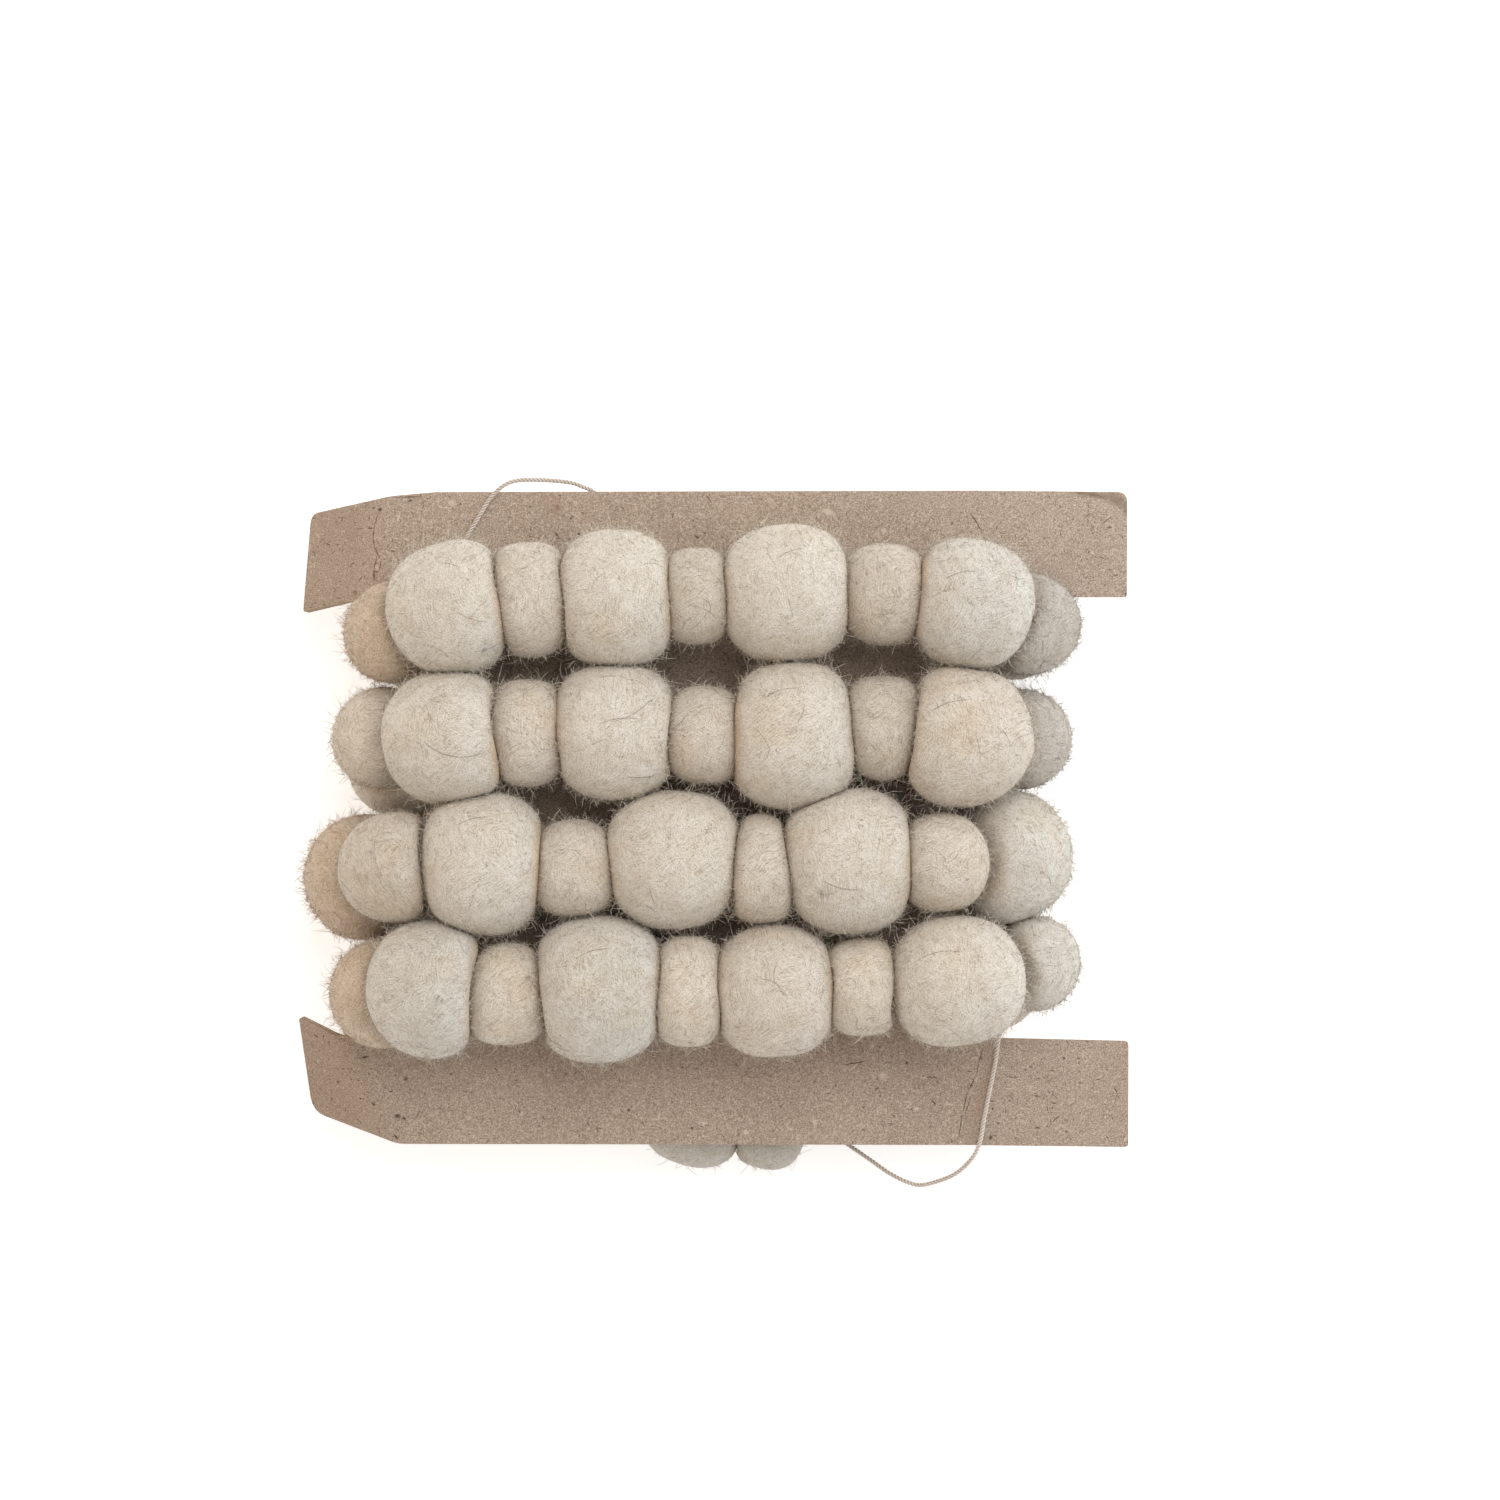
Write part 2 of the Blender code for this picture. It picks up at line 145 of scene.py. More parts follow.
def flat_outline():
    """The card's outline as it lies flat, clockwise from the top left, with its worn corners."""
    left, right = WAIST
    notch_top, notch_bottom = FLANGE_TOP[1], FLANGE_BOTTOM[0]
    ul, ur = WINGS["upper_left"], WINGS["upper_right"]
    ll, lr = WINGS["lower_left"], WINGS["lower_right"]
    corners = [
        (*ul[0], 14), (*FLANGE_SHOULDER, 0), (*ur[0], 0), *ur[2], (*ur[1], 0),
        (right, notch_top, 2), (right, notch_bottom, 2),
        (*lr[0], 0), *lr[2], (*lr[1], 0), (*ll[1], 0), *reversed(ll[2]), (*ll[0], 0),
        (left, notch_bottom, 2), (left, notch_top, 2), (*ul[1], 0), *reversed(ul[2]),
    ]
    points = [on_card(*corner[:2]) for corner in corners]
    outline = []
    for number, corner in enumerate(corners):
        if corner[2]:
            before = points[number - 1]
            after = points[(number + 1) % len(points)]
            outline += rounded(before, points[number], after, corner[2] * UNIT)
        else:
            outline.append(points[number])
    return outline


def bent(point):
    """Where a point of the flat card lies once its wings are bent down round soft creases."""
    for name, (upper, lower, corners, angle) in WINGS.items():
        is_upper, is_left = "upper" in name, "left" in name
        if (point.y > PLAN_CENTRE.y) != is_upper or (point.x < PLAN_CENTRE.x) != is_left:
            continue
        hinge = on_card(*upper)
        crease = on_card(*lower) - hinge
        outwards = Vector((crease.y, -crease.x, 0)).normalized()
        if outwards.dot(on_card(*corners[0][:2]) - hinge) < 0:
            outwards = -outwards
        past = outwards.dot(point - hinge) + BEND_LENGTH / 2
        if past <= 0:
            return point
        angle = radians(angle)
        radius = BEND_LENGTH / 2 / tan(angle / 2)
        turn = angle * min(1.0, past / BEND_LENGTH)
        rest = max(0.0, past - BEND_LENGTH)
        away = radius * sin(turn) + rest * cos(angle)
        down = radius * (1 - cos(turn)) + rest * sin(angle)
        return point + outwards * (away - past) + Vector((0, 0, -down))
    return point


def card_mesh():
    form = bmesh.new()
    form.faces.new([form.verts.new(point) for point in flat_outline()])
    for axis, pitch in enumerate(CARD_GRID):
        low = min(vert.co[axis] for vert in form.verts)
        high = max(vert.co[axis] for vert in form.verts)
        normal = Vector((0, 0, 0))
        normal[axis] = 1.0
        cut = low + pitch / 2
        while cut < high:
            place = Vector((0, 0, 0))
            place[axis] = cut
            bmesh.ops.bisect_plane(form, geom=form.verts[:] + form.edges[:] + form.faces[:],
                                   plane_co=place, plane_no=normal, dist=0.00002)
            cut += pitch
    for face in form.faces:
        face.normal_update()
    if sum(face.normal.z for face in form.faces) < 0:
        bmesh.ops.reverse_faces(form, faces=form.faces)
    height, size = CARD_WARP
    for vert in form.verts:
        wave = height * noise.noise(vert.co / size)
        vert.co = bent(vert.co) + Vector((0, 0, wave))
    mesh = bpy.data.meshes.new("grey_board_card")
    form.to_mesh(mesh)
    form.free()
    mesh.shade_smooth()
    return mesh


class Nodes:
    """Short calls for one material's nodes."""

    def __init__(self, name):
        self.material = bpy.data.materials.new(name)
        self.material.use_nodes = True
        self.tree = self.material.node_tree
        self.shader = self.tree.nodes["Principled BSDF"]

    def set(self, socket, value):
        """A node's output or a plain value into a socket."""
        if isinstance(value, bpy.types.NodeSocket):
            self.tree.links.new(value, socket)
        else:
            socket.default_value = value

    def add(self, kind, out, settings=None, **inputs):
        node = self.tree.nodes.new(kind)
        for key, value in (settings or {}).items():
            setattr(node, key, value)
        for key, value in inputs.items():
            self.set(node.inputs[int(key[1:]) if key[1:].isdigit() else key.replace("_", " ")], value)
        return node.outputs[out]

    def grain(self, place, scale, detail=2.0, rough=0.6, warp=0.0):
        """Noise from 0 to 1, scale per metre."""
        return self.add("ShaderNodeTexNoise", "Fac", Vector=place, Scale=scale, Detail=detail,
                        Roughness=rough, Distortion=warp)

    def shaken(self, place, scale, reach):
        """A place moved to and fro by noise."""
        stray = self.add("ShaderNodeTexNoise", "Color", Vector=place, Scale=scale, Detail=2.0)
        return self.add("ShaderNodeVectorMath", "Vector", {"operation": "MULTIPLY_ADD"}, i0=stray,
                        i1=reach, i2=place)

    def span(self, value, low, high, to_low=0.0, to_high=1.0):
        """A value's range low to high stretched to another, and held at its ends."""
        return self.add("ShaderNodeMapRange", "Result", i0=value, i1=low, i2=high, i3=to_low, i4=to_high)

    def sum(self, kind, first, second):
        return self.add("ShaderNodeMath", "Value", {"operation": kind}, i0=first, i1=second)

    def blend(self, kind, amount, under, over):
        """Two colours mixed, by an amount from 0 to 1."""
        node = self.tree.nodes.new("ShaderNodeMix")
        node.data_type = "RGBA"
        node.blend_type = kind
        node.clamp_result = False
        for number, value in ((0, amount), (6, under), (7, over)):
            self.set(node.inputs[number], value)
        return node.outputs[2]

    def tint(self, kind, under, shade, value, low, high, most=1.0):
        """A colour tinted where a value goes from low to high, at most this much."""
        return self.blend(kind, self.span(value, low, high, 0.0, most), under, srgb(*shade))

    def streaks(self, place, turn, size, detail=2.0, rough=0.65):
        """Noise drawn out along one direction, turned by degrees."""
        if turn:
            place = self.placed(place, (1, 1, 1), turn)
        return self.grain(self.placed(place, size), 1.0, detail, rough)

    def placed(self, place, size, turn=0.0):
        """A place stretched by sizes and turned about Z, in degrees."""
        return self.add("ShaderNodeMapping", "Vector", Vector=place, Scale=size,
                        Rotation=(0.0, 0.0, radians(turn)))

    def finish(self, colour, normal=None, **settings):
        """The surface's colour, its relief and its plain settings, such as Roughness."""
        self.set(self.shader.inputs["Base Color"], colour)
        for key, value in settings.items():
            self.shader.inputs[key.replace("_", " ")].default_value = value
        if normal is not None:
            self.set(self.shader.inputs["Normal"], normal)
        return self.material

    def bump(self, height, distance, under=None):
        settings = {"Height": height, "Distance": distance, "Strength": 1.0}
        if under is not None:
            settings["Normal"] = under
        return self.add("ShaderNodeBump", "Normal", None, **settings)


# Marks pulped, scuffed and creased into the board, by colour and depth. Columns: plan x, plan y,
# half length, half width, turn downwards to the right in degrees.
BOARD_MARKS = {
    (210, 194, 177, 0.8): [  # pale flakes
        (828, 512, 7, 3, 20), (884, 531, 3, 3, 0), (762, 523, 3, 2, 0), (883, 1076, 5, 4, 30),
        (746, 1132, 3, 2, 0), (815, 1122, 3, 3, 0), (452, 503, 4, 3, 0), (376.8, 567, 2.6, 2, 60),
        (561, 527, 1.3, 1.2, 0), (362, 538, 1.6, 1.2, 0), (917, 1109, 3, 2, 0), (1095, 1134, 1.2, 1, 0),
    ],
    (120, 78, 50, 0.65): [  # rust
        (558, 507, 2.8, 1.8, 80), (353.5, 592, 3.2, 2.2, 10), (488.5, 517.6, 1, 0.8, 0),
        (376, 1129.6, 2.4, 1.2, 20),
    ],
    (136, 90, 62, 0.15): [(975, 1110, 28, 7, 104), (553, 505, 14, 9, 30)],  # warm stains
    (116, 98, 78, 0.7): [  # a darker patch along the top edge at the top right corner
        (1096, 495, 24, 3, 8), (1118, 500, 15, 6, 28), (1127, 508, 4, 8, 0),
    ],
    (66, 50, 40, 1.0): [  # dark specks and hairs
        (372, 506.8, 2, 1, 160), (379, 509, 2.3, 1.7, 30), (369.4, 527.3, 3.4, 0.7, 0),
        (357.6, 527.3, 4, 0.5, 178), (409.8, 501, 2.6, 1, 165), (571, 518, 2.4, 0.8, 135),
        (557.4, 535.5, 4, 0.7, 50), (579, 534, 1.5, 1.3, 0), (697, 537, 2.6, 1.4, 30),
        (530.3, 506.2, 1, 0.9, 0), (530.8, 529.5, 1, 0.9, 0), (583, 512.7, 1, 0.9, 0), (460.6, 504, 1, 1, 0),
        (976, 522, 11, 0.7, 58), (313.5, 1037.8, 2.8, 0.8, 35), (327.3, 1043.3, 1.1, 1, 0),
        (365.1, 1057.1, 3.6, 1.1, 165), (369.4, 1074, 1, 1, 0), (350, 1080.3, 1.2, 1, 30),
        (391, 1091.3, 2.6, 0.9, 0), (373, 1104.5, 2.4, 1.3, 35), (397.5, 1116, 3.2, 2, 170),
        (404, 1118.4, 2.4, 1.3, 15), (359, 1100, 1.1, 1, 0), (326.4, 1103.3, 1, 1.5, 0),
        (395.7, 1137, 3.4, 0.9, 40), (629, 1110, 1.8, 1.5, 0), (692, 1128, 1.6, 1.4, 0),
        (855, 1063, 12, 0.7, 172), (906.7, 1063, 2, 1, 60), (931.8, 1077.5, 5, 0.7, 5),
        (933.6, 1102.6, 3, 0.9, 40), (971.3, 1085.5, 1.3, 1.2, 0), (1025.7, 1070, 1, 0.9, 0),
        (1064.6, 1058.7, 1.3, 1.3, 0), (1079, 1058.6, 1.8, 0.7, 0), (1116.7, 1091, 3, 0.7, 60),
        (992.9, 1108.9, 1, 1, 0), (998.8, 1123.4, 1.2, 1.1, 0), (991, 1137.5, 1.8, 2.4, 0),
    ],
    (100, 79, 65, 1.0): [  # cracks along the creases, their dark lines also painted shade in the folds
        (375, 520, 9, 0.7, 107), (372.3, 533.5, 4, 0.9, 90), (372.8, 541, 4, 0.9, 82),
        (376.3, 551, 8, 0.9, 65), (375.1, 563.5, 6, 0.9, 106), (373.9, 575, 5.5, 1, 85),
        (380.1, 565, 5, 0.8, 100), (376.2, 571.7, 3, 0.8, 0), (408, 497, 14, 0.8, 178),
        (335, 1084.6, 2, 2, 0), (405.8, 1079, 2.6, 1.6, 160), (1054.8, 1103.5, 3, 0.9, 20),
        (981, 1055, 8.5, 0.7, 109), (977.6, 1068.5, 6, 0.7, 99), (972.2, 1083, 10, 0.7, 117),
        (965, 1102.5, 11, 0.7, 104), (960.5, 1126, 13, 0.7, 98), (968, 1106, 12, 0.5, 107),
    ],
}
# Where a mark ends, in half lengths by plan units, and how far its edge strays, in metres
MARK_RIM = 1.3 * UNIT
MARK_SHAKE = 0.0008
# Coarse hairs in the pulp. Columns: turn in degrees, length and width of the pattern in metres.
BOARD_HAIRS = [
    (8, 0.0040, 0.0009), (52, 0.0034, 0.0008), (95, 0.0028, 0.0009), (138, 0.0042, 0.0008),
    (20, 0.0014, 0.0011), (110, 0.0013, 0.0010),
]


def grey_board():
    n = Nodes("grey_board")
    place = n.add("ShaderNodeTexCoord", "Object")
    tone = n.grain(place, 42, 3.0)
    grit = n.grain(place, 2400, 3.0, 0.75)
    patch = n.grain(place, 330, 2.0)
    colour = n.blend("MIX", n.span(tone, 0.3, 0.7), srgb(163, 144, 127), srgb(174, 154, 137))
    colour = n.tint("MIX", colour, (177, 159, 142), patch, 0.35, 0.7, 0.5)
    colour = n.tint("MIX", colour, (104, 85, 72), grit, 0.50, 0.30, 0.86)
    colour = n.tint("MIX", colour, (224, 209, 193), grit, 0.51, 0.70, 0.80)
    for turn, length, width in BOARD_HAIRS:
        turned = n.placed(place, (1, 1, 1), turn)
        hair = n.grain(n.placed(turned, (1 / length, 1 / width, 400)), 1.0, 1.0)
        colour = n.tint("MIX", colour, (88, 68, 56), hair, 0.72, 0.77, 0.7)
        straw = n.grain(n.placed(turned, (0.8 / length, 0.9 / width, 90)), 1.0, 1.0)
        colour = n.tint("MIX", colour, (220, 205, 186), straw, 0.73, 0.78, 0.5)
    shaken = n.shaken(place, 1500.0, (MARK_SHAKE, MARK_SHAKE, 0.0))
    solid = n.span(grit, 0.36, 0.50, 0.45, 0.9)
    for (*shade, depth), marks in BOARD_MARKS.items():
        cover = 0.0
        for x, y, length, width, turn in marks:
            centre = on_card(x, y) + Vector((MARK_SHAKE / 2, MARK_SHAKE / 2, 0.0))
            off = n.add("ShaderNodeMapping", "Vector", {"vector_type": "TEXTURE"}, Vector=shaken,
                        Location=centre, Rotation=(0.0, 0.0, radians(-turn)),
                        Scale=(length * MARK_RIM, width * MARK_RIM, 1000.0))
            near = n.add("ShaderNodeTexGradient", "Fac", {"gradient_type": "SPHERICAL"}, Vector=off)
            cover = n.sum("MAXIMUM", cover, n.span(near, 0.0, 0.6, 0.0, depth))
        colour = n.blend("MIX", n.sum("MULTIPLY", cover, solid), colour, srgb(*shade))
    # Painted shade: the board is made a little darker towards the lower flange, where the balls shade it,
    # and darker and warmer towards the bent-down left wings.
    shade_ramps = [n.span(n.add("ShaderNodeSeparateXYZ", axis, i0=place),
                      *(on_card(end, end)["XY".index(axis)] for end in ends))
               for axis, ends in (("Y", (FLANGE_TOP[1], FLANGE_BOTTOM[0])), ("X", (385, 350)))]
    colour = n.blend("MULTIPLY", shade_ramps[0], colour, srgb(248, 247, 246))
    colour = n.blend("MULTIPLY", shade_ramps[1], colour, srgb(245, 242, 237))
    return n.finish(colour, n.bump(grit, 0.00012), Roughness=0.88, Specular_IOR_Level=0.25)


card = bpy.data.objects.new("grey_board_card", card_mesh())
scene.collection.objects.link(card)
board = card.modifiers.new("board", "SOLIDIFY")
board.thickness = CARD_THICK
board.offset = -1.0
board.use_even_offset = True
wear = card.modifiers.new("worn edges", "BEVEL")
wear.width = EDGE_WEAR
wear.segments = 2
wear.limit_method = "ANGLE"
wear.angle_limit = radians(50)
card.data.materials.append(grey_board())
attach(card, "root")
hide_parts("card")


# The balls: seventy of them, big and small in turn, rolled from undyed wool in warm soapy water
# until they felt, and threaded on one string that is wound four and a half times round the card's
# waist. Five runs lie behind the card, four in front, and a ball turns round its side between each.
GAP = -0.0002
FRONT_HEIGHT = 0.0597
BACK_HEIGHT = 0.0190
BACK_SIZES = {"big": (0.0207, 100), "small": (0.0165, 62)}
FULLNESS = 1.03
# How square a ball's profile is along the string, and how much shorter an end is than its share
# of the string: where the string turns round the card's side, and at single balls
BARREL = {"big": 2.75, "small": 3.0}
TURN_END = 0.86
SHORT_ENDS = {
    "ball_front_1_6 left": 0.96, "ball_front_2_2 left": 0.88, "ball_front_2_6 right": 0.92,
    "ball_front_2_8 right": 0.93, "ball_front_3_3 left": 0.88, "ball_front_3_7 left": 0.92,
    "ball_front_3_8 right": 0.84, "ball_front_4_2 left": 0.96,
}
BULGE = 1.19
ROUND_CAP = 1.05
CAP_BLEND = 12
FREE_END = 0.72
# A run this steep turns round the card's side
STEEP = 0.25
# How far a ball presses into its neighbours: where flats form, how near the skin a flat has to be
# to hold it back, and how sharp its rim is
PRESS_REACH = 1.35
CARD_REACH = 1.5
FLAT_NEAR = 1.25
RIM = 40
# Lumps in the skin. Columns: share of the radius, size in metres.
LUMPS = ((0.022, 0.016), (0.010, 0.0065), (0.0045, 0.0028))
SEAM_WAVE = (0.0021, 0.015)
# How far along the wool's pattern each ball lies from the one before, in metres
LAY_STEP = 0.11
# Points round and along a ball
FRONT_STEPS = {"big": (58, 40), "small": (46, 32)}
BACK_STEPS = {"big": (40, 28), "small": (36, 24)}

# Front runs, each listed from the left. Columns: size, plan x, plan y, width across the string,
# length along it, wool. The first and last ball of a run turn round the card's side, and have a
# height.
FRONT_RUNS = {
    "front_1": [
        ("small", 395, 632, 102, 62, "peach", 0.0462),
        ("big", 456, 609, 137, 110, "cream"),
        ("small", 529, 600, 117, 72, "oat"),
        ("big", 616, 598.5, 141, 106, "cream"),
        ("small", 696.5, 596, 98, 58, "dun"),
        ("big", 787, 594, 140, 119, "cream"),
        ("small", 886, 595, 103, 78, "dun"),
        ("big", 970, 605, 133, 112, "pearl"),
        ("small", 1028, 624, 103, 62, "ash", 0.0485),
    ],
    "front_2": [
        ("small", 384, 738, 101, 62, "straw", 0.0400),
        ("big", 453, 737, 138, 100, "cream"),
        ("small", 526, 733, 108, 68, "oat"),
        ("big", 615, 732, 139, 112, "cream"),
        ("small", 704, 735, 99, 67, "oat"),
        ("big", 795, 735.5, 152, 112, "cream"),
        ("small", 885, 729, 106, 68, "dun"),
        ("big", 958, 736, 143, 110, "oat"),
        ("small", 1021, 739, 101, 62, "ash", 0.0402),
    ],
    "front_3": [
        ("big", 368, 878, 126, 100, "peach", 0.0325),
        ("small", 397, 867, 111, 62, "dun", 0.0578),
        ("big", 483, 864, 146, 114, "cream"),
        ("small", 574, 868, 99, 75, "oat"),
        ("big", 674, 860, 141, 130, "cream"),
        ("small", 760.5, 868, 111, 53, "oat"),
        ("big", 849, 861, 149, 117, "cream"),
        ("small", 942, 862, 99, 72, "oat"),
        ("big", 1003, 857, 136, 110, "pearl", 0.0440),
    ],
    "front_4": [
        ("small", 386, 993, 112, 62, "peach", 0.0465),
        ("big", 435, 989, 140, 100, "pearl"),
        ("small", 505, 994, 103, 80, "straw"),
        ("big", 599, 989, 149, 122, "pearl"),
        ("small", 688, 991, 113, 62, "straw"),
        ("big", 775, 991, 134, 111, "oat"),
        ("small", 863, 987, 99, 68, "straw"),
        ("big", 956, 981, 131, 139, "cream"),
        ("small", 1032, 963, 97, 62, "pearl", 0.0452),
    ],
}

# Back runs, each from its left ball to its right ball, evenly spaced between them.
# Columns: balls, size of the first one, plan x and y of the first, plan x and y of the last, how
# far the middle of the run bows downwards on the plan.
BACK_RUNS = {
    "back_0": (5, "big", 682, 567, 1004, 613, 0),
    "back_1": (7, "big", 429, 628, 966, 742, 3),
    "back_2": (8, "big", 417, 757, 978, 838, -2),
    "back_3": (8, "small", 398, 889, 977, 966, 2),
    "back_4": (6, "big", 410, 1009, 770, 1117, 9),
}
JOINED_RUNS = ("back_1", "back_2", "back_3")
BACK_WOOLS = ("cream", "oat", "pearl", "oat", "ash", "ash", "straw", "dun")
WOOLS = {
    "cream": srgb(215, 207, 194),
    "oat": srgb(211, 201, 187),
    "dun": srgb(204, 193, 178),
    "pearl": srgb(208, 202, 191),
    "ash": srgb(184, 177, 167),
    "straw": srgb(215, 204, 188),
    # Painted shade: this wool is made darker and warmer for the left-hand turn balls, which lie in shade.
    "peach": srgb(203, 183, 160),
}
# Painted shade: the wool is made warmer and darker towards each seam between balls, where shade falls.
CREASE_SHADE = srgb(226, 196, 156)
CREASE_SHADE_WIDTH = 0.0024
CREASE_SHADE_DEPTH = {"big": 0.6, "small": 0.25}


def new_ball(run, size, centre, radius, length, wool, front):
    return {"run": run, "size": size, "centre": centre, "radius": radius, "length": length,
            "wool": wool, "front": front, "inner": False}


def front_balls(run):
    balls = []
    for row in FRONT_RUNS[run]:
        size, x, y, width, length, wool = row[:6]
        height = row[6] if len(row) == 7 else FRONT_HEIGHT
        radius = 0.5 * width * UNIT * FULLNESS * (1.0 - (height - CARD_TOP) / EYE_HEIGHT)
        balls.append(new_ball(run, size, plan_point(x, y, height), radius, length, wool, True))
    return balls


def back_balls(run):
    count, size, x0, y0, x1, y1, bow = BACK_RUNS[run]
    balls = []
    for number in range(count):
        along = number / (count - 1)
        y = y0 + (y1 - y0) * along + 4 * bow * along * (1 - along)
        centre = plan_point(x0 + (x1 - x0) * along, y, BACK_HEIGHT)
        radius, length = BACK_SIZES[size]
        wool = BACK_WOOLS[number % len(BACK_WOOLS)]
        balls.append(new_ball(run, size, centre, radius, length, wool, False))
        balls[-1]["inner"] = run in JOINED_RUNS and 0 < number < count - 1
        size = "small" if size == "big" else "big"
    return balls


def string_of_balls():
    """All the balls in the order they are threaded, each with its node's name."""
    order = []
    for turn in range(5):
        runs = [(f"back_{turn}", back_balls(f"back_{turn}"), 1)]
        if turn < 4:
            runs.append((f"front_{turn + 1}", front_balls(f"front_{turn + 1}"), -1))
        for run, balls, way in runs:
            for number, ball in enumerate(balls, 1):
                ball["name"] = f"ball_{run}_{number}"
            order += balls[::way]
    for number, ball in enumerate(order):
        ball["number"] = number
    return order


def add_neighbours(order):
    """The directions of the string at each ball, and the flats where its neighbours press."""
    for number, ball in enumerate(order):
        ball["ends"] = []
        ball["seams"] = []
        near = []
        for step in (-1, 1):
            if 0 <= number + step < len(order):
                other = order[number + step]
                share = ball["length"] / (ball["length"] + other["length"])
                away = other["centre"] - ball["centre"]
                way = away.normalized()
                side = "left" if way.x < 0 else "right"
                fit = SHORT_ENDS.get(f"{ball['name']} {side}", 1.0)
                if ball["front"] and abs(way.z) > STEEP:
                    fit *= TURN_END
                ball["ends"].append((way, away.length * share * fit))
                ball["seams"].append((way, away.length * share - GAP / 2, step))
                near.append((step, other["centre"]))
        if len(near) == 2:
            axis = near[1][1] - near[0][1]
        else:
            axis = (near[0][1] - ball["centre"]) * near[0][0]
            ball["ends"].append((-ball["ends"][0][0], ball["radius"] * FREE_END / BULGE))
        ball["axis"] = axis.normalized()
        ball["flats"] = []


def add_side_flats(order):
    """Flats where a ball presses on balls of the other runs."""
    for number, ball in enumerate(order):
        for other_number, other in enumerate(order):
            if abs(number - other_number) < 2:
                continue
            away = other["centre"] - ball["centre"]
            far = away.length
            if far > PRESS_REACH * (ball["radius"] + other["radius"]):
                continue
            reach = (far ** 2 + ball["radius"] ** 2 - other["radius"] ** 2) / (2 * far)
            ball["flats"].append((away / far, reach - GAP / 2))


def wing_turn(name):
    """The matrix that bends a wing down about its crease."""
    upper, lower, corners, angle = WINGS[name]
    hinge = on_card(*upper)
    axis = on_card(*lower) - hinge
    if axis.cross(on_card(*corners[0][:2]) - hinge).z > 0:
        axis = -axis
    bend = Matrix.Rotation(radians(angle), 4, axis)
    return Matrix.Translation(hinge) @ bend @ Matrix.Translation(-hinge)


def card_panels():
    """The card as convex panels: corner points on its top face, and that face's way up."""
    level = Matrix.Identity(4)
    left, right = WAIST
    top, bottom = FLANGE_TOP[0], FLANGE_BOTTOM[1]
    panels = [([(left, top), (right, top), (right, bottom), (left, bottom)], level)]
    for side, notch in (("upper", FLANGE_TOP[1]), ("lower", FLANGE_BOTTOM[0])):
        left_wing, right_wing = WINGS[f"{side}_left"], WINGS[f"{side}_right"]
        outline = [left_wing[0], right_wing[0], right_wing[1], left_wing[1]]
        if side == "upper":
            panels.append((outline[:3] + [(right, notch), (left, notch)] + outline[3:], level))
        else:
            panels.append((outline[:1] + [(left, notch), (right, notch)] + outline[1:], level))
        panels.append(([*left_wing[2], left_wing[1], left_wing[0]], wing_turn(f"{side}_left")))
        panels.append(([*right_wing[2], right_wing[1], right_wing[0]], wing_turn(f"{side}_right")))
    return panels


def nearest_in_outline(point, corners):
    """The nearest point to a point, both flat, in a convex outline."""
    middle = sum(corners, Vector((0, 0))) / len(corners)
    inside = True
    best = None
    for number, start in enumerate(corners):
        side = corners[(number + 1) % len(corners)] - start
        outwards = Vector((side.y, -side.x))
        if outwards.dot(middle - start) > 0:
            outwards = -outwards
        if outwards.dot(point - start) > 0:
            inside = False
        along = max(0.0, min(1.0, side.dot(point - start) / side.length_squared))
        place = start + side * along
        if best is None or (place - point).length < (best - point).length:
            best = place
    return point if inside else best


def add_card_flats(order):
    """Flats where a ball presses on the card, on its edges or on the table."""
    panels = [([on_card(*corner[:2]).to_2d() for corner in corners], turn)
              for corners, turn in card_panels()]
    for ball in order:
        ball["flats"].append((Vector((0, 0, -1)), ball["centre"].z))
        for outline, turn in panels:
            place = turn.inverted() @ ball["centre"]
            near = nearest_in_outline(place.to_2d(), outline).to_3d()
            near.z = max(CARD_TOP - CARD_THICK, min(CARD_TOP, place.z))
            away = turn @ near - ball["centre"]
            if away.length < CARD_REACH * ball["radius"]:
                ball["flats"].append((away.normalized(), away.length - GAP))


def pressed(skin, lean, reach):
    """A skin's reach where a flat holds it back, with a soft rim."""
    if lean <= 0:
        return skin
    flat = reach / lean
    if flat > FLAT_NEAR * skin:
        return skin
    return (skin ** -RIM + flat ** -RIM) ** (-1.0 / RIM)


def ball_reach(ball, way):
    """How far the ball's skin is from its centre: a barrel between its neighbours, no further out
    than the round ball it was rolled as, a little lumpy, with its flats."""
    along = way.dot(ball["axis"])
    across = sqrt(max(0.0, 1.0 - along * along)) / ball["radius"]
    barrel = BARREL[ball["size"]]
    total = across ** barrel
    for end, reach in ball["ends"]:
        lean = way.dot(end)
        if lean > 0:
            total += (lean / (reach * BULGE)) ** barrel
    cap = (ROUND_CAP * ball["radius"]) ** -CAP_BLEND
    skin = (total ** (CAP_BLEND / barrel) + cap) ** (-1.0 / CAP_BLEND)
    place = ball["centre"] + way * ball["radius"]
    for share, size in LUMPS:
        skin *= 1.0 + share * noise.noise(place / size)
    deep, size = SEAM_WAVE
    for end, reach, step in ball["seams"]:
        lean = way.dot(end)
        if lean > 0:
            point = ball["centre"] + way * (reach / max(lean, 0.5))
            skin = pressed(skin, lean, reach + step * deep * noise.noise(point / size))
    for flat, reach in ball["flats"]:
        skin = pressed(skin, way.dot(flat), reach)
    return skin


def ball_frame(ball):
    """Two directions across the string, the first one down or away from the eye."""
    axis = ball["axis"]
    down = Vector((0, 0, -1))
    if abs(axis.z) > 0.8:
        down = Vector((-1 if ball["centre"].x > PLAN_CENTRE.x else 1, 0, 0))
    first = (down - axis * down.dot(axis)).normalized()
    return first, axis.cross(first)


